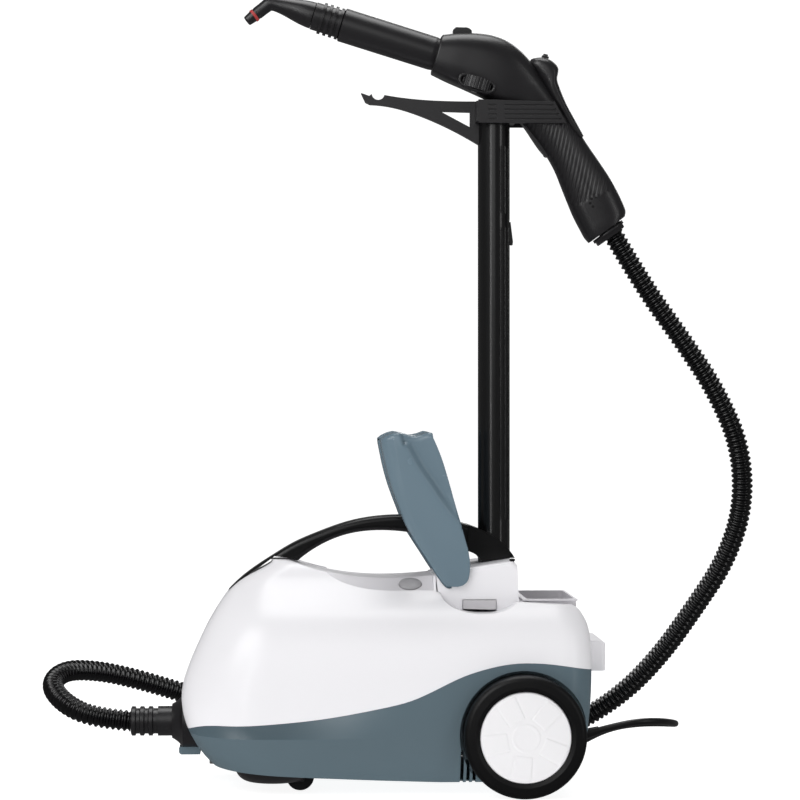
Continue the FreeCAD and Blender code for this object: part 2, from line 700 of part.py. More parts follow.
def wand():
    x, radius = dim("wand_x"), dim("wand_radius")
    foot, joint, top = dim("wand_foot_z"), dim("wand_joint_z"), dim("wand_top_z")
    wall = dim("wand_wall")
    lower = cut(cylinder("Dims.wand_radius", joint - foot, x, 0, foot),
                cylinder("Dims.wand_radius - Dims.wand_wall", joint - foot + 4, x, 0, foot - 2))
    latch_hole = box(12, 9.2, 24.8, x + radius - 5, -4.6, 535.2)
    subpart("lower_tube", cut(fused(lower, *flutes(262, joint - 270)), latch_hole,
            cylinder("Dims.wand_radius - Dims.wand_wall", joint - foot + 4, x, 0, foot - 2)))
    spigot_end = joint - 38
    upper = fused(cylinder("Dims.wand_radius", top - joint, x, 0, joint),
                  cylinder(radius - wall - 0.1, joint - spigot_end + 1, x, 0, spigot_end))
    upper_flutes = flutes(joint + 6, top - joint - 30)
    bore = cylinder(radius - 2 * wall - 0.1, top - spigot_end + 4, x, 0, spigot_end - 2)
    button_hole = box(14, 9.2, 24.8, x + radius - 8, -4.6, 535.2)
    subpart("upper_tube", cut(fused(upper, *upper_flutes), bore, button_hole))
    wedge = side_pad(closed([(x + 10.6, 536), (x + radius + 2.6, 536), (x + radius + 3, 539),
                             (x + radius + 0.6, 559), (x + 10.6, 559)]), 8.4)
    subpart("tube_lock_button", wedge)


HOOK_LINE = [(-76, 687.3), (-71.7, 679.5), (-67, 682), (-65.4, 686.6)]


def wand_holder():
    """The cap on top of the wand: a hook arm to the front and an open cradle to the rear."""
    x, radius = dim("wand_x"), dim("wand_radius")
    arm_top = [(-52.8, 685.4), (-13, 680.6), (22, 679.4), (46, 679.4)]
    arm_low = [(42, 636), (15, 651), (-13, 663.5), (-41, 672.6), (-67, 676)]
    arm = side_pad(runs([(-76, 687.3), (-71.7, 678.2)], [(-71.7, 678.2), arm_low[-1]],
                        list(reversed(arm_low)), [arm_low[0], (46, 636)], [(46, 636), arm_top[-1]],
                        list(reversed(arm_top)), [arm_top[0], (-59, 680.5), (-65.4, 686.4)],
                        [(-65.4, 686.4), (-68, 684.5)], [(-68, 684.5), (-76, 687.3)]), 10)
    window = side_pad(closed([(2.6, 669.6), (33, 668.8), (33, 653.5)]), 30)
    top, half_gap = dim("wand_top_z"), dim("cradle_half_gap")
    plug_radius = radius - 2 * dim("wand_wall") - 0.2
    plug = cut(cylinder(plug_radius, 30, x, 0, top - 28), cylinder(plug_radius - 3, 28, x, 0, top - 30))
    outer = half_gap + dim("cradle_wall")
    front = box(7, 2 * outer, 678 - top, 38, -outer, top)
    prongs, grooves = [], []
    for flank in (-1, 1):
        prongs.append(side_pad(closed([(40, top - 1.4), (127.5, top - 1.4), (116, 677.6), (40, 679.4)]),
                               "Dims.cradle_wall", -flank * (half_gap + dim("cradle_wall") / 2)))
        for i in range(4):
            height = top + 1.6 + 4.6 * i
            end = 121.5 - 2.6 * i
            grooves.append(box(end - 66, 2, 1.6, 66, flank * outer - 1, height))
            grooves.append(along_y(1.3, 3, end, flank * outer, height + 0.8))
            grooves.append(box(8, 2, 1.8, 50, flank * outer - 1, height - 0.1))
    floor = box(36, 2 * half_gap + 2, 3, 42, -half_gap - 1, top)
    bore = cylinder("Dims.wand_radius + Dims.running_gap", 40, x, 0, top - 40)
    subpart("wand_holder", fused(cut(fused(cut(arm, window), front, *prongs, floor), bore, *grooves), plug))


# ---------------------------------------------------------------- steam gun

GUN_TOP = [(5.7, 746.3), (22, 747.5), (40, 747.6), (56, 745.6), (71, 739.7), (85.7, 729.5), (91.6, 722.1)]
GUN_HUMP = [(91.6, 722.1), (103, 723.6), (113.6, 721.4), (122, 714), (120.2, 702.3), (125.3, 687.7),
            (136.3, 662.7), (151.7, 636.3), (170.8, 608.4), (185.4, 582), (191.3, 566)]
GUN_FACE = [(187.6, 563), (162.7, 537)]
GUN_INSIDE = [(153, 537.3), (141.4, 554.2), (131, 577.6), (120.9, 605.5), (110, 628)]
GUN_THROAT = [(98, 641), (84, 662), (66, 672)]
GUN_CHIN = [(57.8, 676), (53.4, 680.3), (24, 693.5), (-6, 706.7)]


def gun_curves(loop_shift=0.0):
    """The whole gun seen from the side, inset by loop_shift."""
    groups = [GUN_TOP, GUN_HUMP[1:], GUN_FACE, GUN_INSIDE, GUN_THROAT, GUN_CHIN]
    flat = inset([p for group in groups for p in group], loop_shift)
    parts, start = [], 0
    for group in groups:
        parts.append(flat[start:start + len(group)])
        start += len(group)
    smooth = [parts[0], parts[1], parts[3]]
    straight = [parts[2], parts[4], parts[5]]
    curves = runs(*smooth)
    for part in straight:
        curves += runs(*zip(part, part[1:]))
    order = parts + parts[:1]
    curves += runs(*[(a[-1], b[0]) for a, b in zip(order, order[1:])])
    return curves


def gun_head_zone(grow):
    """The wide head: all of the gun ahead of the neck."""
    return side_pad(closed([(-40, 690), (-40, 770), (86 + grow, 770), (104 + grow, 715), (70 + grow, 680.5),
                            (52, 680.3 - grow), (30, 680)]), 80)


def gun_block(depth):
    """The gun as a solid block, inset by depth."""
    head = common(side_pad(gun_curves(depth), f"2 * (Dims.gun_head_half_width - {depth})"),
                  gun_head_zone(-depth))
    grip = side_pad(gun_curves(depth), f"2 * (Dims.gun_grip_half_width - {depth})")
    if depth:
        return fused(head, grip)
    on_head = on_side(dim("gun_head_half_width"))
    on_grip = on_side(dim("gun_grip_half_width"))
    return rounded(fused(head, grip), 5, lambda e: (on_head(e) and e.Length > 40 and e.CenterOfMass.z > 720)
                   or (on_grip(e) and e.Length > 60))


def hump_slot():
    """The slot over the grip that the trigger lock slides in."""
    slot = box(16, 7, 12, 0, 0, 0)
    corner = Placement(Vector(-8, -3.5, -6), Rotation())
    slot.Placement = Placement(Vector(110, 0, 722), Rotation(Y_AXIS, 12)).multiply(corner)
    return slot


def nozzle_frame(distance, x=0.0, z=726.5):
    """A placement on the nozzle's axis with +Z pointing out of the gun."""
    tilt = math.radians(dim("nozzle_tilt"))
    base = Vector(x - distance * math.cos(tilt), 0, z + distance * math.sin(tilt))
    return Placement(base, Rotation(Y_AXIS, -90 + dim("nozzle_tilt")))


def on_nozzle(thing, distance):
    thing.Placement = nozzle_frame(distance)
    return thing


DIAL = (38.5, -11.5, 695.5)
TRIGGER_PIVOT = (80, 0, 667)


def gun():
    shell = cut(gun_block(0), gun_block(dim("gun_wall")))
    seam_cover = side_pad(closed([(91.6, 723.5), (107.7, 702.3), (120, 684.7), (134, 660), (140, 665),
                                  (126, 690), (124, 725), (92, 727)]), 36)
    dial_gap = seated(cylinder("Dims.dial_radius + 0.8", 14, 0, 0, 0), DIAL, Y_AXIS, 17, -7)
    spigot_hole = on_nozzle(cylinder("Dims.spigot_radius", 30, 0, 0, 0), -20)
    top_slot = box(19.4, 12.8, 12, 15.6, -6.4, 740)
    trigger_gap = side_pad(closed([(60, 660), (74, 676), (90, 672), (118, 622), (105, 610), (80, 640)]), 15)
    end, before = Vector(*HOSE_ROUTE[-1]), Vector(*HOSE_ROUTE[-2])
    away = (before - end).normalize()
    exit_hole = cylinder("Dims.hose_radius + 1.8", 40, 0, 0, 0)
    exit_hole.Placement = Placement(end - away * 19, Rotation(Z_AXIS, away))
    whole = cut(shell, seam_cover, dial_gap, spigot_hole, top_slot, hump_slot(), trigger_gap, exit_hole)
    for name, low in (("gun_shell_near", -60), ("gun_shell_far", 0)):
        subpart(name, common(whole, box(300, 60, 300, -60, low, 500)))
    cover = common(gun_block(0), seam_cover)
    subpart("gun_back_cover", cut(cover, gun_block(dim("gun_wall")), hump_slot()))


def steam_dial():
    """A knurled thumbwheel that looks out of the head's near side."""
    wheel = cylinder("Dims.dial_radius", 11.6, 0, 0, -5.8)
    grooves = [cylinder(0.9, 14, 17.3 * math.cos(math.radians(a)), 17.3 * math.sin(math.radians(a)), -7)
               for a in range(0, 360, 12)]
    knurled = cut(wheel, *grooves, cylinder(3.06, 20, 0, 0, -10))
    subpart("steam_dial", placed(knurled, *DIAL, Y_AXIS, 17))
    dial_pin = seated(cylinder(3, 16, 0, 0, 0), DIAL, Y_AXIS, 17, -8)
    subpart("gun_pins", fused(dial_pin, along_y(2, 28, *TRIGGER_PIVOT)))


def gun_controls():
    outline = runs([(16, 742), (34.6, 742)], [(34.6, 742), (34.6, 750)],
                   [(34.6, 750), (31, 752.8), (27, 753.2)], [(27, 753.2), (18.6, 753.4)],
                   [(18.6, 753.4), (16, 751)], [(16, 751), (16, 742)])
    subpart("nozzle_release", side_pad(outline, 12))
    nub = fused(box(7, 6, 8, -3.5, -3, -4), cylinder(2.4, 2.4, 0, 0, 3.6))
    subpart("lock_slider", placed(nub, 108, 0, 721.6, Y_AXIS, 12))
    pivot = along_y("2 + Dims.running_gap", 40, *TRIGGER_PIVOT)
    lever = side_pad(runs([(73, 668), (80, 673.5), (87, 668)], [(87, 668), (99, 649)],
                          [(99, 649), (113, 629)], [(113, 629), (111, 624.5), (107, 627)],
                          [(107, 627), (96, 641.5), (86, 656), (73, 668)]), 13.4)
    subpart("trigger", cut(lever, pivot))


def gun_inside():
    valve = fused(centred_box(40, 70, 9, 705, 727), cylinder(6, 22, 64, 0, 692))
    spigot = on_nozzle(cylinder("Dims.spigot_radius", 48, 0, 0, 0), -24)
    channel = on_nozzle(cylinder(5, 80, 0, 0, 0), -40)
    subpart("gun_steam_valve", cut(fused(valve, spigot), channel))


# ---------------------------------------------------------------- nozzle


def nozzle():
    """Adapter socket, cone and bent tip in line on the nozzle's axis."""
    radius = dim("nozzle_radius")
    grip = spun(runs([(radius - 4, 0.6), (radius - 0.6, 0.6)], [(radius - 0.6, 0.6), (radius, 5)],
                     [(radius, 5), (radius, 99)], [(radius, 99), (radius - 4, 101)],
                     [(radius - 4, 101), (radius - 4, 0.6)]))
    rings = [cylinder(radius - 1, 3, 0, 0, 100.5 + 6 * i) for i in range(4)]
    neck = cylinder(radius - 3, 30, 0, 0, 99)
    liner = cylinder(radius - 3.9, 99, 0, 0, 0.6)
    bores = [cylinder("Dims.spigot_radius + Dims.running_gap", 26, 0, 0, 0), cylinder(5, 140, 0, 0, 0)]
    sleeve = cut(fused(grip, neck, liner, *rings), *bores)
    subpart("nozzle_adapter", on_nozzle(sleeve, 0))
    tip_start = 129.3
    cone = doc.addObject("Part::Cone", "Cone")
    cone.Radius1, cone.Radius2, cone.Height = 13.5, 7, 38
    cone.Placement.Base = Vector(0, 0, tip_start)
    cone_end = nozzle_frame(tip_start + 38).Base
    bend = cone_end + Vector(-6.5, 0, 1.2)
    end = Vector(-190, 0, 758.6)
    spout = doc.addObject("Part::Feature", "Spout")
    outlet = (end - bend).normalize()
    mouth = end - outlet * dim("mouth_length")
    neck = cone_end - (bend - cone_end).normalize() * 2
    spout.Shape = Part.makeSphere(6.2, bend).fuse([
        Part.makeCone(6.8, 6.2, (bend - neck).Length, neck, bend - neck),
        Part.makeCone(6.2, dim("mouth_radius") + 0.5, (mouth - bend).Length, bend, outlet),
        Part.makeCylinder(dim("mouth_radius"), dim("mouth_length"), mouth, outlet)])
    duct = doc.addObject("Part::Feature", "Duct")
    duct.Shape = Part.makeCylinder(2.5, 60, end + outlet, outlet * -1)
    bore = on_nozzle(cylinder(2.5, 80, 0, 0, 0), 110)
    ring_at = mouth - outlet * 3
    ring_solid = Part.makeCylinder(6.6, 2.8, ring_at, outlet)
    ring_hole = Part.makeCylinder(5.45, 12, ring_at - outlet * 2, outlet)
    ring = doc.addObject("Part::Feature", "Ring")
    ring.Shape = ring_solid.cut(ring_hole)
    seat = doc.addObject("Part::Feature", "Seat")
    seat.Shape = ring_solid.cut(Part.makeCylinder(5.4, 12, ring_at - outlet * 2, outlet))
    cone.Placement = nozzle_frame(tip_start)
    subpart("nozzle_tip", cut(fused(cone, spout), seat, duct, bore))
    subpart("nozzle_ring", ring)


# ---------------------------------------------------------------- steam works inside


def boiler():
    """Two pressed halves clamped at their flanges, with a ring heater brazed under the lower one."""
    radius, x = dim("boiler_radius"), dim("boiler_x")
    bowl = spun(runs([(0, 36), (radius - 14, 36)], [(radius - 14, 36), (radius - 4, 40), (radius, 50)],
                     [(radius, 50), (radius, 88)], [(radius, 88), (radius + 8, 88)],
                     [(radius + 8, 88), (radius + 8, 90)], [(radius + 8, 90), (radius - 1.5, 90)],
                     [(radius - 1.5, 90), (radius - 1.5, 50)],
                     [(radius - 1.5, 50), (radius - 5, 41), (radius - 14, 37.5)],
                     [(radius - 14, 37.5), (0, 37.5)], [(0, 37.5), (0, 36)]))
    dome = spun(runs([(0, 148), (radius - 14, 148)], [(radius - 14, 148), (radius - 4, 144), (radius, 134)],
                     [(radius, 134), (radius, 94)], [(radius, 94), (radius + 8, 94)],
                     [(radius + 8, 94), (radius + 8, 92)], [(radius + 8, 92), (radius - 1.5, 92)],
                     [(radius - 1.5, 92), (radius - 1.5, 134)],
                     [(radius - 1.5, 134), (radius - 5, 143), (radius - 14, 146.5)],
                     [(radius - 14, 146.5), (0, 146.5)], [(0, 146.5), (0, 148)]))
    ports = [cylinder(4, 10, x, 0, 142), cylinder(4, 10, x + 22, 14, 142)]
    subpart("boiler_dome", cut(placed(dome, x, 0, 0), *ports))
    ring = cut(cylinder("Dims.boiler_radius + 8", 2, x, 0, 90),
               cylinder("Dims.boiler_radius - 1.5", 6, x, 0, 88))
    subpart("boiler_gasket", ring)
    heater = doc.addObject("Part::Torus", "Torus")
    bind(heater, Radius1="Dims.boiler_radius - 20", Radius2="4")
    subpart("boiler_bowl", fused(placed(bowl, x, 0, 0), placed(heater, x, 0, 32.2)))
    feet = [cylinder(3.5, 67, x + (radius + 4) * math.cos(a), (radius + 4) * math.sin(a), 21)
            for a in (math.radians(45 + 90 * i) for i in range(4))]
    base = cut(cylinder("Dims.boiler_radius + 8", 2.5, x, 0, 21),
               cylinder("Dims.boiler_radius - 2", 6, x, 0, 19))
    subpart("boiler_stand", fused(base, *feet))
    valve = [cylinder(radius, height, x + 22, 14, z)
             for radius, height, z in ((4, 6, 144), (8, 5, 148.1), (6, 12, 153))]
    subpart("boiler_safety_parts", fused(*valve, cylinder(9, 5, x - 26, -10, 148.1),
                                         box(10, 5, 6, x - 31, -12.5, 153)))


def water_feed():
    """Pump and pipes from the tank to the boiler."""
    pump = fused(box(34, 32, 30, 34, -16, 24), along_x(4.5, 8, 66, 0, 44), along_x(4.5, 8, 28, 0, 44))
    subpart("water_pump", pump)
    suction = cut(along_x(3.1, 11.8, 74.1, 0, 44), along_x(2, 14, 73, 0, 44))
    feed = cut(along_x(3.1, 30.8, -2.9, 0, 44), along_x(2, 32, -4, 0, 44))
    return [suction, feed]


def steam_line():
    """Valve and pipes from the boiler's dome to the outlet at the front."""
    x = dim("boiler_x")
    subpart("steam_valve", fused(box(24, 26, 32, -161, -13, 102), cylinder(8, 16, -149, 0, 134)))
    rise = (round_tube("steam pipe", [(x, 0, 146), (x, 0, 162), (x - 16, 0, 172),
            (x - 45, 0, 174), (x - 74, 0, 172), (x - 94, 0, 166), (x - 94, 0, 150.1)], 3.9, 2.8))
    lead = (round_tube("outlet pipe", [(-149, 0, 101.9), (-149, 0, 84), (-158, 0, 68),
            (-178, 0, OUTLET_Z), (-205, 0, OUTLET_Z + 0.5), (-237.9, 0, OUTLET_Z)], 3.9, 2.8))
    return [rise, lead]


def electrics():
    board = box(66, 1.6, 48, -36, 82, 56)
    chips = [box(14, 8, 12, -28 + 22 * i, 74, 66 + 6 * i) for i in range(3)]
    subpart("control_board", fused(board, *chips, box(18, 26, 20, 96, -92, 56)))


# ---------------------------------------------------------------- outlet and hose


def outlet():
    """Bell-shaped flange and plug at the front, with a ribbed sleeve for the hose."""
    rim = dim("flange_radius")
    bell = spun(runs([(4, 0), (rim, 0)], [(rim, 0), (rim, 15)], [(rim, 15), (rim - 6, 19.5), (17, 26)],
                     [(17, 26), (4, 26)], [(4, 26), (4, 0)]))
    bell.Placement = Placement(Vector(-238, 0, OUTLET_Z), Rotation(Y_AXIS, -90))
    subpart("outlet_flange", bell)
    plug = cut(fused(along_x(14.75, 14, -278, 0, OUTLET_Z), along_x(3.9, 30, -268, 0, OUTLET_Z)),
               along_x(2.5, 60, -290, 0, OUTLET_Z))
    subpart("hose_plug", plug)
    profile = [(2.6, 0), (12.6, 0)]
    for ring in range(3):
        start = 4.5 + 8.5 * ring
        profile += [(12.6, start), (14.6, start + 1), (14.6, start + 4.4), (12.6, start + 5.4)]
    profile += [(11.4, 27), (2.6, 27)]
    sleeve = spun(closed(profile))
    sleeve.Placement = Placement(Vector(-278, 0, OUTLET_Z), Rotation(Y_AXIS, -90))
    subpart("hose_sleeve", sleeve)


HOSE_ROUTE = [
    (-305, 0, 61.5), (-343, 0, 65), (-373, 15, 77.5), (-390, 47, 93), (-378, 82, 104), (-347, 106, 101),
    (-313, 122, 92), (-280, 134, 81), (-246, 144, 69), (-210, 151, 53), (-150, 158, 26), (-90, 157, 12.5),
    (-27, 161, 11.4), (36, 158, 11.4), (98, 160, 14), (156, 147, 38), (205, 127, 73), (241, 100, 117),
    (270, 72, 166), (298, 45, 216), (313, 23, 273), (307, 8, 335), (281, 1, 391), (245, -1, 444),
    (210, 0, 492), (176, 0, 549),
]
CORD_ROUTE = [
    (156, -58, 57), (177, -58, 62.5), (199, -56, 65.5), (221, -45, 64), (237, -21, 59), (241, 9, 54.5),
    (232, 39, 51.5), (214, 66, 48), (196, 93, 42), (182, 118, 34), (170, 142, 24), (156, 164, 12),
    (136, 181, 4.2), (108, 191, 3.6), (80, 193.6, 3.5), (56, 193.2, 3.6),
]
GLAND = (133.7, -58, 51.2)
GLAND_TILT = 75.3
COIL = {"x": 40, "y": 240, "mid_radius": 40, "columns": 3, "layers": 4}


def steam_hose():
    cord_piece("steam_hose", round_tube("steam_hose", HOSE_ROUTE, dim("hose_radius")))
    end, before = Vector(*HOSE_ROUTE[-1]), Vector(*HOSE_ROUTE[-2])
    away = (before - end).normalize()
    ferrule = cylinder("Dims.hose_radius + 1.8", 19, 0, 0, 0)
    ferrule.Placement = Placement(end - away * 19, Rotation(Z_AXIS, away))
    subpart("hose_ferrule", ferrule)


def mains_cord():
    """Strain relief, the cord's visible stretch, its coil put away behind, and a two-pin plug."""
    cord = dim("cord_radius")
    relief = doc.addObject("Part::Cone", "Cone")
    relief.Radius1, relief.Radius2, relief.Height = 6, 4.2, 23
    subpart("cord_strain_relief", placed(relief, *GLAND, Y_AXIS, GLAND_TILT))
    lead = round_tube("power_cord", CORD_ROUTE, cord)
    outer = COIL["mid_radius"] + COIL["columns"] * cord
    inner = COIL["mid_radius"] - COIL["columns"] * cord
    thick = 2 * cord * COIL["layers"]
    cord_piece("power_cord_coil", cut(cylinder(outer, thick, COIL["x"], COIL["y"], 0),
                                      cylinder(inner, thick + 4, COIL["x"], COIL["y"], -2)))
    tail_y = COIL["y"] - outer + cord
    tail = [(30, tail_y, thick - cord), (8, tail_y, thick - cord - 1.5), (-12, tail_y, 20)]
    cord_piece("power_cord", fused(lead, round_tube("power_cord tail", tail, cord)))
    body = spun(runs([(cord, 0), (5.5, 0)], [(5.5, 0), (7, 14)], [(7, 14), (13, 22), (18, 30)],
                     [(18, 30), (18, 44)], [(18, 44), (0, 44)], [(0, 44), (0, 4)],
                     [(0, 4), (cord, 4)], [(cord, 4), (cord, 0)]))
    body.Placement = Placement(Vector(-12, tail_y, 20), Rotation(Y_AXIS, -90))
    cord_piece("plug_body", body)
    pins = [along_x(2.4, 19, -75, tail_y + offset, 20) for offset in (-9.5, 9.5)]
    cord_piece("plug_pins", fused(*pins))


def cord_hook():
    """The hollow bracket on the rear wall that the cord is wound on."""
    outer = rounded(centred_box(140, 164, 45, 114, 143.5), 4,
                    lambda e: e.CenterOfMass.x > 160 and e.CenterOfMass.z > 116)
    block = cut(outer, centred_box(130, 161, 42, 110, 140.5), housing_block(0))
    subpart("cord_hook", block)


lower_shell()
upper_shell()
top_panel()
power_button()
tower()
catch_tab()
handle()
lid()
accessory_bin()
water_tank()
rear_axle()
rear_wheel("near", -1)
rear_wheel("far", 1)
caster("near", -1)
caster("far", 1)
wand()
wand_holder()
gun()
steam_dial()
gun_controls()
gun_inside()
nozzle()
boiler()
subpart("boiler_pipes", fused(*water_feed(), *steam_line()))
electrics()
outlet()
steam_hose()
mains_cord()
cord_hook()

doc.recompute()

# ---------------------------------------------------------------- datum

own = [piece.Shape.optimalBoundingBox() for piece in SUBPARTS if piece not in CORD_PIECES]
middle = (min(b.XMin for b in own) + max(b.XMax for b in own)) / 2
for piece in SUBPARTS:
    piece.Placement = Placement(Vector(-middle, 0, 0), Rotation()).multiply(piece.Placement)
print(f"datum moved {-middle:.3f} mm along X; lowest point {min(b.ZMin for b in own):.4f}, "
      f"sides {min(b.YMin for b in own):.3f} and {max(b.YMax for b in own):.3f}")
doc.recompute()

# ---------------------------------------------------------------- checks and files

for thing in doc.Objects:
    if {"Invalid", "Error"} & set(thing.State):
        raise RuntimeError(f"{thing.Name} {thing.Label} failed: {thing.State}")
for piece in SUBPARTS:
    if piece.Shape.isNull() or not piece.Shape.isValid():
        raise RuntimeError(f"{piece.Label} has no valid shape")
    print(piece.Label, len(piece.Shape.Solids), round(piece.Shape.Volume), piece.Shape.optimalBoundingBox())

os.makedirs("parts", exist_ok=True)
for piece in SUBPARTS:
    piece.Shape.exportStep(os.path.join("parts", f"{piece.Label}.step"))
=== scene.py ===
import json
import math

import bmesh
import bpy
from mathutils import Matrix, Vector


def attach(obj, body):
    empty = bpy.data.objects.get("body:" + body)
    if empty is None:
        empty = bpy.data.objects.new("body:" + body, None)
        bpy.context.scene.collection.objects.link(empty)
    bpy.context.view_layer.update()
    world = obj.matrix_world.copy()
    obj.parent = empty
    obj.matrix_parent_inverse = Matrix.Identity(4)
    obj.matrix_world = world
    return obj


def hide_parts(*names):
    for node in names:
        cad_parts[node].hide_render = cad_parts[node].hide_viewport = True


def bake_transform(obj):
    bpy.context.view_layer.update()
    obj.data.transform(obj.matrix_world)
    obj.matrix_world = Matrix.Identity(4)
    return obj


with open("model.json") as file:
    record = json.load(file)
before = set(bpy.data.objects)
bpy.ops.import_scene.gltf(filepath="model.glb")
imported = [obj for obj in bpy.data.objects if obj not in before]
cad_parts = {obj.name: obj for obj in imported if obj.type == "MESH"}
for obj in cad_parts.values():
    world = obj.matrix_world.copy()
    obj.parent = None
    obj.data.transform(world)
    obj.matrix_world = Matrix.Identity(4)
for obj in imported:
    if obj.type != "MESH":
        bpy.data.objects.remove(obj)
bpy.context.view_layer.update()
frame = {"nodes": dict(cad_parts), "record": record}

NODES = frame["nodes"]
scene = bpy.context.scene

# ---------------------------------------------------------------- materials


def srgb(r, g, b):
    """A linear colour from 8-bit display values."""
    def lin(v):
        v /= 255
        return v / 12.92 if v <= 0.04045 else ((v + 0.055) / 1.055) ** 2.4
    return (lin(r), lin(g), lin(b), 1)


def plastic(name, colour, rough, spread=0.04, grain=0.0, grain_size=0.0006, edge=0.0004,
            metallic=0.0, coat=0.0, rough_spread=0.06, specular=0.5, crease=None):
    """Moulded plastic or metal: cloudy colour, uneven gloss, a moulded grain and softened edges.

    crease is a height and two places along X: the shading of the wall above that height leans back,
    fully at the first place and not at all at the second.
    """
    made = bpy.data.materials.new(name)
    made.use_nodes = True
    nodes, links = made.node_tree.nodes, made.node_tree.links
    shader = nodes["Principled BSDF"]
    shader.inputs["Metallic"].default_value = metallic
    shader.inputs["Coat Weight"].default_value = coat
    shader.inputs["Specular IOR Level"].default_value = specular
    shader.inputs["Coat Roughness"].default_value = 0.08
    where = nodes.new("ShaderNodeTexCoord").outputs["Object"]

    def noise(scale, detail):
        node = nodes.new("ShaderNodeTexNoise")
        node.inputs["Scale"].default_value = scale
        node.inputs["Detail"].default_value = detail
        links.new(where, node.inputs["Vector"])
        return node.outputs["Fac"]

    tint = nodes.new("ShaderNodeMix")
    tint.data_type = "RGBA"
    tint.inputs["A"].default_value = tuple(c * (1 - spread) for c in colour[:3]) + (1,)
    tint.inputs["B"].default_value = tuple(min(1, c * (1 + spread)) for c in colour[:3]) + (1,)
    links.new(noise(9, 5), tint.inputs["Factor"])
    links.new(tint.outputs["Result"], shader.inputs["Base Color"])
    gloss = nodes.new("ShaderNodeMapRange")
    gloss.inputs["To Min"].default_value = max(0.03, rough - rough_spread)
    gloss.inputs["To Max"].default_value = rough + rough_spread
    links.new(noise(60, 6), gloss.inputs["Value"])
    links.new(gloss.outputs["Result"], shader.inputs["Roughness"])
    soft = nodes.new("ShaderNodeBevel")
    soft.samples = 4
    soft.inputs["Radius"].default_value = edge
    if grain:
        bump = nodes.new("ShaderNodeBump")
        bump.inputs["Strength"].default_value = grain
        bump.inputs["Distance"].default_value = grain_size * 0.3
        links.new(noise(1 / grain_size, 2), bump.inputs["Height"])
        links.new(soft.outputs["Normal"], bump.inputs["Normal"])
        links.new(bump.outputs["Normal"], shader.inputs["Normal"])
    else:
        links.new(soft.outputs["Normal"], shader.inputs["Normal"])
    if crease:
        height, front, rear = crease
        parts = nodes.new("ShaderNodeSeparateXYZ")
        links.new(nodes.new("ShaderNodeNewGeometry").outputs["Position"], parts.inputs["Vector"])

        def ranged(source, low, high, first, last, curve="LINEAR"):
            node = nodes.new("ShaderNodeMapRange")
            node.interpolation_type = curve
            limits = {"From Min": low, "From Max": high, "To Min": first, "To Max": last}
            for field, value in limits.items():
                node.inputs[field].default_value = value
            links.new(source, node.inputs["Value"])
            return node.outputs["Result"]

        lean = ranged(parts.outputs["Z"], height, height + 0.03, 0.0, -0.03)
        share = ranged(parts.outputs["X"], front, rear, 1.0, 0.0, "SMOOTHSTEP")
        product = nodes.new("ShaderNodeMath")
        product.operation = "MULTIPLY"
        links.new(lean, product.inputs[0])
        links.new(share, product.inputs[1])
        tilt = nodes.new("ShaderNodeBump")
        tilt.inputs["Strength"].default_value = 1.0
        tilt.inputs["Distance"].default_value = 1.0
        links.new(product.outputs["Value"], tilt.inputs["Height"])
        links.new(shader.inputs["Normal"].links[0].from_socket, tilt.inputs["Normal"])
        links.new(tilt.outputs["Normal"], shader.inputs["Normal"])
    return made


LOOKS = {
    "shell_white": plastic("white_gloss", srgb(240, 239, 242), 0.30, spread=0.006, rough_spread=0.02),
    "cap_white": plastic("white_cap", srgb(240, 239, 241), 0.34, spread=0.010, edge=0.0002),
    "panel_white": plastic("white_satin", srgb(216, 214, 218), 0.42, spread=0.015, grain=0.15),
    "shell_blue": plastic("slate_blue", srgb(88, 106, 115), 0.36, grain=0.15, spread=0.03,
                          crease=(0.0565, -0.13, 0.02)),
    "lid_grey": plastic("slate_grey", srgb(104, 124, 136), 0.27, spread=0.01, rough_spread=0.01),
    "control_grey": plastic("control_grey", srgb(165, 164, 167), 0.38, grain=0.1),
    "catch_grey": plastic("catch_grey", srgb(200, 198, 201), 0.38, grain=0.1),
    "handle_black": plastic("handle_black", srgb(6, 6, 7), 0.30, grain=0.2, specular=0.35),
    "black_plastic": plastic("black_plastic", srgb(24, 23, 25), 0.33, grain=0.2, specular=0.55),
    # near-black; the grip's vent discs use it as painted shade in place of open holes
    "deep_black": plastic("deep_black", srgb(4, 4, 4), 0.8),
    "tube_black": plastic("tube_black", srgb(13, 13, 14), 0.22, specular=0.55, rough_spread=0.02),
    "tyre_black": plastic("tyre_rubber", srgb(6, 6, 7), 0.42, grain=0.3, grain_size=0.001, specular=0.3),
    "hose_black": plastic("hose_rubber", srgb(4, 4, 5), 0.2, edge=0.0001, specular=0.5),
    "cord_black": plastic("cord_rubber", srgb(6, 6, 7), 0.36, edge=0.0002),
    "ring_red": plastic("ring_red", srgb(168, 48, 48), 0.45),
    "seal_rubber": plastic("seal_rubber", srgb(90, 40, 34), 0.6),
    "steel": plastic("steel", srgb(180, 180, 182), 0.28, metallic=1.0),
    "aluminium": plastic("aluminium", srgb(205, 205, 207), 0.35, metallic=1.0),
    "brass": plastic("brass", srgb(205, 170, 100), 0.28, metallic=1.0),
    "tank_clear": plastic("tank_milky", srgb(205, 214, 220), 0.3),
    "board_green": plastic("board_green", srgb(32, 104, 62), 0.5),
}

SLOT_OF = {row["node"]: row["material_slot"] for row in frame["record"]["subparts"]}


def dress(piece, slot_name):
    """Gives a piece one of the finishes above."""
    piece.data.materials.clear()
    piece.data.materials.append(LOOKS[slot_name])


for name, node in NODES.items():
    dress(node, SLOT_OF[name])
dress(NODES["catch_tab"], "catch_grey")

# ---------------------------------------------------------------- cords

CORD_SHIFT = 0.05685


def in_frame(points):
    """Stations in millimetres as points of the row frame in metres."""
    return [Vector((x / 1000 + CORD_SHIFT, y / 1000, z / 1000)) for x, y, z in points]


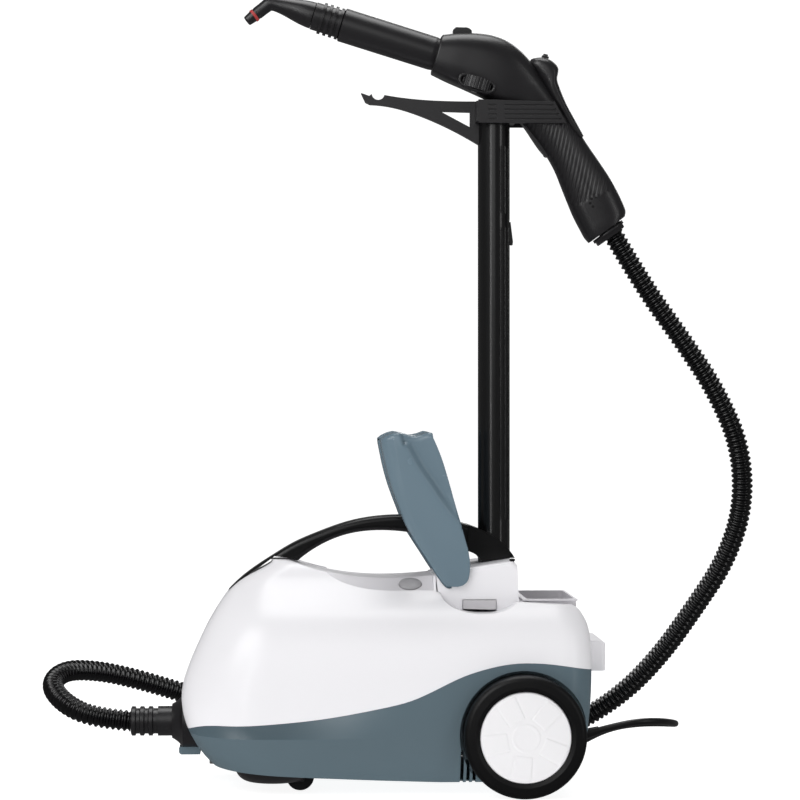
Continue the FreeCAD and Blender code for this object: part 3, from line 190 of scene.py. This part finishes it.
HOSE_ROUTE = in_frame([
    (-305, 0, 61.5), (-343, 0, 65), (-373, 15, 77.5), (-390, 47, 93), (-378, 82, 104), (-347, 106, 101),
    (-313, 122, 92), (-280, 134, 81), (-246, 144, 69), (-210, 151, 53), (-150, 158, 26), (-90, 157, 12.5),
    (-27, 161, 11.4), (36, 158, 11.4), (98, 160, 14), (156, 147, 38), (205, 127, 73), (241, 100, 117),
    (270, 72, 166), (298, 45, 216), (313, 23, 273), (307, 8, 335), (281, 1, 391), (245, -1, 444),
    (210, 0, 492), (176, 0, 549)])
CORD_ROUTE = in_frame([
    (156, -58, 57), (177, -58, 62.5), (199, -56, 65.5), (221, -45, 64), (237, -21, 59), (241, 9, 54.5),
    (232, 39, 51.5), (214, 66, 48), (196, 93, 42), (182, 118, 34), (170, 142, 24), (156, 164, 12),
    (136, 181, 4.2), (108, 191, 3.6), (80, 193.6, 3.5), (56, 193.2, 3.6)])
CORD_TAIL = in_frame([(30, 193.4, 23.1), (8, 193.4, 21.6), (-12, 193.4, 20)])
HOSE_RADIUS = 0.01075
HOSE_GROOVE = 0.0024
CORD_RADIUS = 0.0033


def route_curve(name, points):
    """An open smooth curve with those control points."""
    data = bpy.data.curves.new(name, "CURVE")
    data.dimensions = "3D"
    data.resolution_u = 8
    spline = data.splines.new("NURBS")
    spline.points.add(len(points) - 1)
    for point, at in zip(spline.points, points):
        point.co = (*at, 1)
    spline.order_u = 3
    spline.use_endpoint_u = True
    made = bpy.data.objects.new(name, data)
    scene.collection.objects.link(made)
    return made


def curve_line(points, resolution):
    """The points of the smooth curve itself."""
    guide = route_curve("guide", points)
    guide.data.resolution_u = resolution
    bpy.context.view_layer.update()
    mesh = bpy.data.meshes.new_from_object(guide)
    line = [v.co.copy() for v in mesh.vertices]
    bpy.data.meshes.remove(mesh)
    bpy.data.objects.remove(guide)
    return line


def evenly(line, step):
    """Points along a line at equal steps of length."""
    even, along = [line[0]], 0.0
    for a, b in zip(line, line[1:]):
        run = (b - a).length
        while along + run >= step * len(even):
            even.append(a.lerp(b, (step * len(even) - along) / run))
        along += run
    return even


def swept(name, line, radii, sides):
    """A closed tube with its own radius at each point of its line."""
    verts, faces = [], []
    side = (line[1] - line[0]).orthogonal().normalized()
    for i, (at, radius) in enumerate(zip(line, radii)):
        ahead = (line[min(i + 1, len(line) - 1)] - line[max(i - 1, 0)]).normalized()
        side = (side - ahead * side.dot(ahead)).normalized()
        other = ahead.cross(side)
        for k in range(sides):
            a = 2 * math.pi * k / sides
            verts.append(at + (side * math.cos(a) + other * math.sin(a)) * radius)
    for i in range(len(line) - 1):
        for k in range(sides):
            n = (k + 1) % sides
            faces.append((i * sides + k, i * sides + n, (i + 1) * sides + n, (i + 1) * sides + k))
    faces.append(tuple(reversed(range(sides))))
    faces.append(tuple(range((len(line) - 1) * sides, len(line) * sides)))
    mesh = bpy.data.meshes.new(name)
    mesh.from_pydata(verts, [], faces)
    mesh.polygons.foreach_set("use_smooth", [True] * len(faces))
    made = bpy.data.objects.new(name, mesh)
    scene.collection.objects.link(made)
    return made


def steam_hose():
    """The corrugated hose from the outlet round the far side and up into the gun."""
    pitch, rings = 0.0056, 8
    line = evenly(curve_line(HOSE_ROUTE, 24), pitch / rings)
    radii = [HOSE_RADIUS - HOSE_GROOVE * (0.5 - 0.5 * math.cos(2 * math.pi * i / rings))
             for i in range(len(line))]
    hose = swept("corrugated_hose", line, radii, 28)
    hose.data.materials.append(LOOKS["hose_black"])
    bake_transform(hose)
    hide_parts("steam_hose")


def coil_points():
    """Twelve turns in four layers, wound from the outside in and back out again."""
    centre, middle = in_frame([(40, 240, CORD_RADIUS * 1000)])[0], 0.040
    per_turn, columns, layers = 18, 3, 4
    pitch = 2 * CORD_RADIUS
    seats = []
    for layer in range(layers):
        order = range(columns) if layer % 2 == 0 else reversed(range(columns))
        seats += [(middle + pitch * (1 - column), pitch * layer) for column in order]
    bulge = 1 / math.cos(math.pi / per_turn) ** 0.5
    points = []
    for turn, (radius, height) in enumerate(seats):
        after = seats[min(turn + 1, len(seats) - 1)]
        for k in range(per_turn):
            shift = max(0.0, (k / per_turn - 0.8) / 0.2)
            r = (radius + (after[0] - radius) * shift) * bulge
            z = height + (after[1] - height) * shift
            a = -math.pi / 2 - 2 * math.pi * k / per_turn
            points.append(centre + Vector((r * math.cos(a), r * math.sin(a), z)))
    return points


def mains_cord():
    points = CORD_ROUTE + coil_points() + CORD_TAIL
    cord = route_curve("mains_cord", points)
    cord.data.bevel_depth = CORD_RADIUS
    cord.data.bevel_resolution = 4
    cord.data.materials.append(LOOKS["cord_black"])
    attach(cord, "cleaner")
    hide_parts("power_cord", "power_cord_coil")
    line = curve_line(points, 8)


steam_hose()
mains_cord()

# ---------------------------------------------------------------- mesh helpers


def place(x, y, z):
    """A station in millimetres as a point of the row frame in metres."""
    return Vector((x / 1000 + CORD_SHIFT, y / 1000, z / 1000))


def spread_out(rows, steps):
    """Rows of numbers, filled in smoothly with steps new rows from each one to the next."""
    filled = []
    for i in range(len(rows) - 1):
        before, a, b, after = rows[max(i - 1, 0)], rows[i], rows[i + 1], rows[min(i + 2, len(rows) - 1)]
        for k in range(steps):
            t = k / steps
            filled.append([0.5 * (2 * q + (r - p) * t + (2 * p - 5 * q + 4 * r - w) * t * t
                                  + (3 * q - p - 3 * r + w) * t ** 3)
                           for p, q, r, w in zip(before, a, b, after)])
    return filled + [list(rows[-1])]


def solid_mesh(name, verts, faces, slot, smooth=True):
    """A mesh object with one finish."""
    mesh = bpy.data.meshes.new(name)
    mesh.from_pydata(verts, [], faces)
    mesh.polygons.foreach_set("use_smooth", [smooth] * len(faces))
    made = bpy.data.objects.new(name, mesh)
    scene.collection.objects.link(made)
    made.data.materials.append(LOOKS[slot])
    return made


def lofted(name, loops, slot):
    """A closed skin over rings of points, each ring with the same number of them."""
    count = len(loops[0])
    verts = [v for loop in loops for v in loop]
    faces = []
    for i in range(len(loops) - 1):
        for k in range(count):
            n = (k + 1) % count
            faces.append((i * count + k, i * count + n, (i + 1) * count + n, (i + 1) * count + k))
    for ring, flip in ((0, True), (len(loops) - 1, False)):
        middle = sum(loops[ring], Vector()) / count
        verts.append(middle)
        hub = len(verts) - 1
        for k in range(count):
            a, b = ring * count + k, ring * count + (k + 1) % count
            faces.append((hub, b, a) if flip else (hub, a, b))
    return solid_mesh(name, verts, faces, slot)


def circle(count, radius, x, z):
    """Points round a flat circle about (x, z)."""
    turns = [2 * math.pi * k / count for k in range(count)]
    return [(x + radius * math.cos(a), z + radius * math.sin(a)) for a in turns]


def power(value, exponent):
    """A power that keeps the sign."""
    return math.copysign(abs(value) ** exponent, value)


def smoothstep(low, high, value):
    """0 below low, 1 above high, and an even curve between."""
    t = min(1.0, max(0.0, (value - low) / (high - low)))
    return t * t * (3 - 2 * t)


def carve(piece, *cutters):
    """Cuts other meshes out of a piece for good."""
    for cutter in cutters:
        step = piece.modifiers.new("carve", "BOOLEAN")
        step.object = cutter
        step.operation = "DIFFERENCE"
        step.solver = "EXACT"
    bpy.context.view_layer.update()
    settled = bpy.data.meshes.new_from_object(piece.evaluated_get(bpy.context.evaluated_depsgraph_get()))
    piece.modifiers.clear()
    piece.data = settled
    for cutter in cutters:
        bpy.data.objects.remove(cutter)


def prism(outline, low_y, high_y):
    """A block with an outline in X and Z, from low_y to high_y, used only to carve."""
    count = len(outline)
    verts = [place(x, y, z) for y in (low_y, high_y) for x, z in outline]
    faces = [tuple(range(count)), tuple(reversed(range(count, 2 * count)))]
    faces += [(k, k + count, (k + 1) % count + count, (k + 1) % count) for k in range(count)]
    mesh = bpy.data.meshes.new("cutter")
    mesh.from_pydata(verts, [], faces)
    made = bpy.data.objects.new("cutter", mesh)
    scene.collection.objects.link(made)
    return made


# ---------------------------------------------------------------- steam gun

GUN_SECTIONS = [
    # top x, top z, bottom x, bottom z, half width
    (5.9, 746.0, -5.7, 707.0, 22.6), (22, 747.9, 9, 699.8, 23.8), (40, 747.8, 24, 693.3, 24),
    (56, 745.6, 38.5, 686.8, 24),
    (71, 739.8, 50, 681.5, 23.6), (84, 730.4, 60, 676.3, 22.6), (95, 718.5, 68.5, 671.5, 21),
    (104, 706.3, 77, 665.5, 19.2), (113, 693.2, 85.5, 657.5, 18.2), (122, 680, 94.5, 646, 17.6),
    (132, 665.3, 103.5, 634.5, 17.2), (142.5, 649.8, 111.5, 622.5, 17), (153, 634, 118.5, 609.5, 16.9),
    (163, 619.6, 124.5, 594.5, 16.9), (172.3, 605.6, 130.5, 579.5, 17), (180.6, 591, 136.8, 564.5, 17.2),
    (187, 577.5, 143.6, 551.5, 17.2), (189.3, 570.5, 148, 543.6, 17), (188.6, 565.2, 152.5, 538.4, 16.4)]
COVER_SECTIONS = [
    # outer x, outer z, inner x, inner z, half width
    (94.5, 722.4, 92, 717, 7), (99, 723.7, 94, 713, 11.5), (106, 724, 97, 709, 14.5),
    (115, 720.8, 101, 703, 16),
    (121.6, 713.4, 106, 695, 16.4), (120.4, 702.8, 110, 688, 16.2), (122.8, 693.8, 114, 681, 15.6),
    (129.4, 677.9, 121, 669, 14.8), (138.4, 661.2, 131, 653, 13.6), (147, 645.5, 142, 641.5, 11.5)]


def gun_ring(row, count, blunt_top, blunt_low, ribs):
    """One ring round the gun; ribs is how deep the grip's slanting grooves go, in millimetres."""
    tx, tz, bx, bz, half = row
    middle, reach = ((tx + bx) / 2, (tz + bz) / 2), ((tx - bx) / 2, (tz - bz) / 2)
    ring = []
    for k in range(count):
        a = 2 * math.pi * k / count
        blunt = blunt_top if math.sin(a) > 0 else blunt_low
        up, out = power(math.sin(a), 2 / blunt), power(math.cos(a), 2 / blunt)
        x, z = middle[0] + reach[0] * up, middle[1] + reach[1] * up
        shrink = 0.0
        if ribs:
            edge = 572 + (x - 134) * 0.47
            inside = smoothstep(edge, edge + 2, z) * (1 - smoothstep(660, 664, z))
            inside *= smoothstep(0.15, 0.45, abs(out))
            wave = 0.5 + 0.5 * math.cos(2 * math.pi * (x - 0.2 * (z - 600)) / 4.1)
            shrink = ribs * inside * wave ** 2
        y = out * (half - shrink)
        ring.append(place(x, y, z))
    return ring


def dial_outline():
    """The tilted oval of the dial's recess, in X and Z."""
    cos, sin = math.cos(math.radians(17)), math.sin(math.radians(17))
    line = []
    for k in range(40):
        a = 2 * math.pi * k / 40
        u, w = 17.9 * power(math.cos(a), 0.7), 6.6 * power(math.sin(a), 0.8)
        line.append((38.5 + u * cos + w * sin, 695.5 - u * sin + w * cos))
    return line


def steam_gun():
    """Head, neck and ribbed grip in one smooth skin, the cover over the hump, and the end collar."""
    steps, count = 12, 168
    rows = spread_out(GUN_SECTIONS, steps)
    first = rows[0]
    inset = 0.06 * (first[0] - first[2])
    nose = [first[0] - 1.2 - inset, first[1] - 2, first[2] - 0.9 + inset, first[3] + 2, first[4] - 2]
    loops = [gun_ring(nose, count, 2.6, 3.2, 0)]
    for i, row in enumerate(rows):
        neck = smoothstep(4, 8, i / steps)
        loops.append(gun_ring(row, count, 2.5 - 0.1 * neck, 3.4 - 0.9 * neck, 1.2))
    body = lofted("gun_body", loops, "black_plastic")
    trigger_slot = prism([(60, 664), (76, 679), (96, 668), (122, 632), (112, 612), (96, 632)], -7.6, 7.6)
    dial_line = dial_outline()
    carve(body, trigger_slot, prism(dial_line, -40, -7))
    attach(body, "gun")
    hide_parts("gun_shell_near", "gun_shell_far")
    cover = lofted("gun_cover", [gun_ring(row, 96, 2.5, 2.5, 0) for row in spread_out(COVER_SECTIONS, 8)],
                   "black_plastic")
    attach(cover, "gun")
    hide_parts("gun_back_cover")
    bezel = [place(x, -21.6, z) for x, z in dial_line]
    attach(closed_ring("dial_bezel", bezel, 0.0019, 10, "black_plastic"), "gun")
    for side in (-1, 1):
        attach(vent_shade(side), "gun")
    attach(end_collar(), "gun")


def closed_ring(name, line, radius, sides, slot):
    """A round bead along a closed loop of points."""
    count = len(line)
    verts, faces = [], []
    for i, at in enumerate(line):
        ahead = (line[(i + 1) % count] - line[i - 1]).normalized()
        side = ahead.cross(Vector((0, 1, 0))).normalized()
        for k in range(sides):
            a = 2 * math.pi * k / sides
            verts.append(at + (side * math.cos(a) + Vector((0, 1, 0)) * math.sin(a)) * radius)
    for i in range(count):
        for k in range(sides):
            j, n = (i + 1) % count, (k + 1) % sides
            faces.append((i * sides + k, j * sides + k, j * sides + n, i * sides + n))
    return solid_mesh(name, verts, faces, slot)


def vent_shade(side):
    """Seven small near-black discs low on one side of the grip: painted shade standing in for the vent
    holes, which are not cut.
    """
    verts, faces = [], []
    ring = [(4.5 * math.cos(math.radians(a)), 4.5 * math.sin(math.radians(a))) for a in range(10, 370, 60)]
    for dx, dz in [(0, 0)] + ring:
        for depth in (15.6, 17.15):
            verts += [place(x, side * depth, z) for x, z in circle(16, 1.35, 156.3 + dx, 578 + dz)]
        start = len(verts) - 32
        faces.append(tuple(range(start, start + 16)))
        faces.append(tuple(reversed(range(start + 16, start + 32))))
        for k in range(16):
            n = (k + 1) % 16
            faces.append((start + k, start + 16 + k, start + 16 + n, start + n))
    name = "grip_vent_shade_near" if side < 0 else "grip_vent_shade_far"
    # the discs sit flush with the grip; their deep black is painted shade for the inside of the vent holes
    return solid_mesh(name, verts, faces, "deep_black", smooth=False)


def end_collar():
    """The stepped collar that closes the lower end of the grip."""
    rows = []
    for along, shrink in ((-1, 0.0), (2.2, 0.0), (2.3, 1.4), (5.6, 1.4), (6.2, 2.2)):
        dx, dz = 0.52 * along, -0.854 * along
        rows.append((186.2 + dx - shrink * 0.8, 560.8 + dz - shrink * 0.6, 157.4 + dx + shrink * 0.8,
                     539.6 + dz + shrink * 0.6, 14.6 - shrink))
    return lofted("grip_collar", [gun_ring(row, 72, 2.4, 2.4, 0) for row in rows], "black_plastic")


# ---------------------------------------------------------------- nozzle tip


def nozzle_tip():
    """Cone, bent neck and mouth in one smooth skin."""
    tilt = math.radians(17.2)
    ahead = Vector((-math.cos(tilt), 0, math.sin(tilt)))
    start = place(0, 0, 726.5)
    cone_end = start + ahead * 0.1673
    bend = cone_end + Vector((-0.0065, 0, 0.0012))
    mouth = place(-190, 0, 758.6)
    out = (mouth - bend).normalized()
    route = [start + ahead * 0.1295, start + ahead * 0.145, cone_end - ahead * 0.006, bend,
             bend + out * 0.007, mouth - out * 0.009, mouth]
    step = 0.0006
    line = evenly(curve_line(route, 24), step)
    line.append(mouth)
    length = (len(line) - 1) * step
    ring_from = length - 0.0138
    radii = []
    for i in range(len(line)):
        s = min(i * step, length)
        radius = 0.0134 - 0.0064 * smoothstep(0, 0.044, s) - 0.0006 * smoothstep(0.04, 0.055, s)
        if s > ring_from:
            radius = 0.0060 if s < length - 0.0015 else 0.0052
        if s > length - 0.0106:
            radius = 0.0061 - 0.0012 * (s - length + 0.0106) / 0.0106
        if s > length - 0.0008:
            radius -= 0.0006
        radii.append(radius)
    tip = swept("bent_tip", line, radii, 40)
    tip.data.materials.append(LOOKS["black_plastic"])
    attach(tip, "nozzle")
    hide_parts("nozzle_tip")


# ---------------------------------------------------------------- lid

LID_ROWS = [
    # front x, front z, rear x, rear z, inner edge y
    (10.5, 198.9, 16.5, 198.8, 65), (6, 199.3, 22.5, 200.8, 65), (1.2, 203.8, 27, 206.5, 65),
    (-6.4, 214.9, 28.6, 219.4, 65), (-14, 226.8, 26.9, 233.4, 65), (-20.5, 236.8, 23.6, 245.4, 65),
    (-25, 243.8, 21.2, 254.2, 61), (-29.9, 251.4, 18.8, 263.1, 57), (-35, 261.5, 15.8, 273.6, 57),
    (-39.3, 272.6, 12.9, 284, 57), (-44.6, 286.5, 9.4, 296.5, 57), (-48.8, 298.9, 6, 308, 57),
    (-52.9, 314, 1.8, 321.6, 57), (-55.9, 328.2, -3.6, 335.6, 57), (-57.6, 336.8, -7.2, 343.6, 57)]
# share of the way from front to rear, rise of the free end there
LID_RIM = [(0, 0.0), (0.08, 2.6), (0.2, 4.6), (0.32, 5.2), (0.45, 3.2), (0.58, 0.4), (0.68, -0.8),
           (0.8, -0.4), (0.93, 1.2), (1, 0.0)]
# the crease on the lid's side, in X and Z
LID_CREASE = [(-34, 334), (-30, 326.5), (-22.5, 312.8), (-12.7, 299.2), (-1, 281.7), (8.7, 268), (18, 258)]


def rim_rise(v):
    """How much the lid's free end rises at a share v of the way from front to rear."""
    for (a, low), (b, high) in zip(LID_RIM, LID_RIM[1:]):
        if v <= b:
            return low + (high - low) * (v - a) / (b - a)
    return 0.0


def crease_side(x, z):
    """How far a point lies to the rear of the crease, in millimetres."""
    best = None
    for (ax, az), (bx, bz) in zip(LID_CREASE, LID_CREASE[1:]):
        run = Vector((bx - ax, bz - az))
        t = min(1.0, max(0.0, Vector((x - ax, z - az)).dot(run) / run.length_squared))
        foot = Vector((ax, az)) + run * t
        offset = Vector((x, z)) - foot
        side = run.x * offset.y - run.y * offset.x
        if best is None or offset.length < abs(best):
            best = math.copysign(offset.length, side)
    return best


def lid_wing(side):
    """One half of the lid: chamfered corner, creased side wall, plate and end wall, as one grid."""
    rows = spread_out(LID_ROWS, 5)
    grid = []
    for index, (fx, fz, rx, rz, inner) in enumerate(rows):
        width = math.hypot(rx - fx, rz - fz)
        share = min(0.42, 9.0 / width)
        lift = smoothstep(len(rows) - 16, len(rows) - 1, index)
        line = []
        if inner < 57.5:
            line += [(0.0, y) for y in (21, 30, 40, 50)]
        else:
            line += [(0.0, inner)] * 4
        for k in range(6):
            a = math.pi / 2 * k / 5
            line.append((share * (1 - math.cos(a)), inner + (67.4 - inner) * math.sin(a) ** 0.9))
        line += [(share + (1 - share) * k / 22, 67.4) for k in range(1, 23)]
        points = []
        for v, y in line:
            x, z = fx + (rx - fx) * v, fz + (rz - fz) * v + rim_rise(v) * lift
            if v > share:
                behind = crease_side(x, z)
                depth = 5.0 + 2.5 * smoothstep(272, 292, z)
                y += 2.2 * smoothstep(-30, 0, behind) - depth * smoothstep(0, 8, behind)
                y += 5.0 * smoothstep(9, 36, behind) * (1 - 0.5 * smoothstep(268, 300, z))
            points.append((x, y, z))
        grid.append(points)
    last = grid[-1]
    end_steps = ((2.2, 0.4), (4.0, 1.6), (5.2, 3.4), (5.6, 6.0), (5.7, 16.0), (5.7, 30.0), (5.7, 46.0))
    for reach, drop in end_steps:
        grid.append([(x - 0.12 * reach, max(21.0, y - drop) if y > 21 else y, z + 0.95 * reach)
                     for x, y, z in last])
    verts = [place(x, side * y, z) for row in grid for x, y, z in row]
    count = len(grid[0])
    faces = []
    for i in range(len(grid) - 1):
        for k in range(count - 1):
            face = (i * count + k, i * count + k + 1, (i + 1) * count + k + 1, (i + 1) * count + k)
            faces.append(face if side < 0 else tuple(reversed(face)))
    return verts, faces


def lid():
    """The open lid: two wings with a slot between them for the wand."""
    verts, faces = [], []
    for side in (-1, 1):
        more, sheets = lid_wing(side)
        faces += [tuple(i + len(verts) for i in face) for face in sheets]
        verts += more
    cover = solid_mesh("lid_cover", verts, faces, "lid_grey")
    thick = cover.modifiers.new("thickness", "SOLIDIFY")
    thick.thickness = 0.0018
    thick.offset = -1
    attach(cover, "lid")
    rings = [[place(x, y, z) for x, z in circle(32, r, 18, 207)]
             for y, r in ((-65.5, 2.6), (-65, 3), (65, 3), (65.5, 2.6))]
    rod = lofted("lid_hinge_rod", rings, "lid_grey")
    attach(rod, "lid")
    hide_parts("lid")
    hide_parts("lid")


# ---------------------------------------------------------------- hubcaps

# degrees, seen from outside the near wheel
SPOKES = [47 + 72 * k for k in range(5)]


def hubcap(name, side):
    """A shallow dome with five broad raised spokes, a boss and a rolled rim."""
    inner_y, width, radius = 101, 30, 43.8
    axle_x, axle_z = 77.5, 59
    rings, count = 72, 240
    verts, faces = [], []
    for i in range(rings + 1):
        r = radius * i / rings
        for k in range(count):
            a = 2 * math.pi * k / count
            height = 31.8 - 2.6 * (r / radius) ** 2.4
            height += 0.9 * smoothstep(13.8, 12.6, r) - 0.55 * smoothstep(11.6, 10.6, r)
            height -= 2.2 * smoothstep(42.2, 43.8, r) ** 2
            for spoke in SPOKES:
                c, s = math.cos(a - math.radians(spoke)), math.sin(a - math.radians(spoke))
                if c > 0:
                    reach, across = r * c, abs(r * s)
                    half = 6.4 + 0.075 * reach
                    raised = smoothstep(half + 0.9, half - 0.1, across) * smoothstep(16.5, 18.5, reach)
                    raised *= smoothstep(42.0, 40.6, r)
                    groove = 0.35 * smoothstep(half + 2.2, half + 1.0, across) * smoothstep(16, 18, reach)
                    height += 0.5 * raised - groove * smoothstep(41.8, 40.4, r) * (1 - raised)
            mirrored = math.cos(a) if side < 0 else -math.cos(a)
            out = side * (inner_y + min(height, 32.3))
            verts.append(place(axle_x + r * mirrored, out, axle_z + r * math.sin(a)))
    for i in range(rings):
        for k in range(count):
            n = (k + 1) % count
            faces.append((i * count + k, i * count + n, (i + 1) * count + n, (i + 1) * count + k))
    back = len(verts)
    for k in range(count):
        a = 2 * math.pi * k / count
        mirrored = math.cos(a) if side < 0 else -math.cos(a)
        out = side * (inner_y + width - 5.6)
        verts.append(place(axle_x + radius * mirrored, out, axle_z + radius * math.sin(a)))
    edge = rings * count
    faces += [(edge + k, edge + (k + 1) % count, back + (k + 1) % count, back + k) for k in range(count)]
    faces.append(tuple(range(back, back + count)))
    cap = solid_mesh(f"hub_cover_{name}", verts, faces, "cap_white")
    tidy = bmesh.new()
    tidy.from_mesh(cap.data)
    bmesh.ops.remove_doubles(tidy, verts=tidy.verts, dist=1e-7)
    bmesh.ops.recalc_face_normals(tidy, faces=tidy.faces)
    tidy.to_mesh(cap.data)
    tidy.free()
    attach(cap, f"wheel_{name}")
    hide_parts(f"hubcap_{name}")


def tower_bumper():
    """The small black knob at the tower's rear corner, taken for a rubber stop."""
    profile = [(0.4, 2.0), (1.2, 2.0), (1.3, 2.9), (2.4, 2.9), (3.2, 2.2), (3.5, 0.8)]
    rings = [[place(x, y, 222.2 + h) for x, y in circle(24, r, 70.6, -57)] for h, r in profile]
    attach(lofted("tower_bumper", rings, "tyre_black"), "cleaner")


steam_gun()
nozzle_tip()
lid()
hubcap("near", -1)
hubcap("far", 1)
tower_bumper()

# ---------------------------------------------------------------- stage, light and camera


def backdrop():
    """A white sweep: floor, round corner and wall."""
    width, front, corner, rise, steps = 9.0, -3.2, 3.4, 5.5, 24
    outline = [(front, 0.0)]
    for i in range(steps + 1):
        a = math.pi / 2 * i / steps
        outline.append((corner + 1.6 * math.sin(a), 1.6 - 1.6 * math.cos(a)))
    outline.append((corner + 1.6, rise))
    verts = [(x, y, z) for y, z in outline for x in (-width, width)]
    faces = [(2 * i, 2 * i + 1, 2 * i + 3, 2 * i + 2) for i in range(len(outline) - 1)]
    mesh = bpy.data.meshes.new("sweep")
    mesh.from_pydata(verts, [], faces)
    mesh.polygons.foreach_set("use_smooth", [True] * len(faces))
    made = bpy.data.objects.new("sweep", mesh)
    scene.collection.objects.link(made)
    paper = bpy.data.materials.new("paper")
    paper.use_nodes = True
    shader = paper.node_tree.nodes["Principled BSDF"]
    shader.inputs["Base Color"].default_value = (0.35, 0.35, 0.35, 1)
    shader.inputs["Roughness"].default_value = 0.9
    shader.inputs["Emission Color"].default_value = (1, 1, 1, 1)
    shader.inputs["Emission Strength"].default_value = 0.9
    made.data.materials.append(paper)
    made.visible_glossy = False


def area_light(name, at, towards, size, power, size_y=None):
    lamp = bpy.data.lights.new(name, "AREA")
    lamp.energy = power
    lamp.size = size
    if size_y:
        lamp.shape = "RECTANGLE"
        lamp.size_y = size_y
    made = bpy.data.objects.new(name, lamp)
    made.location = at
    made.rotation_euler = (Vector(towards) - Vector(at)).to_track_quat("-Z", "Y").to_euler()
    scene.collection.objects.link(made)
    return made


def studio():
    world = bpy.data.worlds.new("studio")
    world.use_nodes = True
    world.node_tree.nodes["Background"].inputs["Color"].default_value = (1, 1, 1, 1)
    world.node_tree.nodes["Background"].inputs["Strength"].default_value = 0.13
    scene.world = world
    middle = (0, 0, 0.35)
    area_light("key", (-1.9, -2.0, 2.3), middle, 1.8, 42)
    area_light("strip", (-1.0, -2.3, 0.75), middle, 0.16, 5, 1.5)
    area_light("side", (2.0, -1.7, 0.9), middle, 0.25, 6, 1.9)
    area_light("fill", (-0.5, -3.1, 1.5), middle, 1.8, 11)
    area_light("top", (0.1, 0.3, 2.6), middle, 1.5, 30)
    area_light("back", (0.8, 2.4, 1.6), middle, 1.4, 16)
    scene.view_settings.view_transform = "Standard"


def camera():
    data = bpy.data.cameras.new("camera")
    data.lens = 117
    data.sensor_width = 36
    made = bpy.data.objects.new("camera", data)
    scene.collection.objects.link(made)
    target = Vector((0.01985, 0, 0.381))
    azimuth = math.radians(-2.5)
    made.location = target + 2.6 * Vector((math.sin(azimuth), -math.cos(azimuth), 0))
    made.rotation_euler = (target - made.location).to_track_quat("-Z", "Y").to_euler()
    scene.camera = made


backdrop()
studio()
camera()
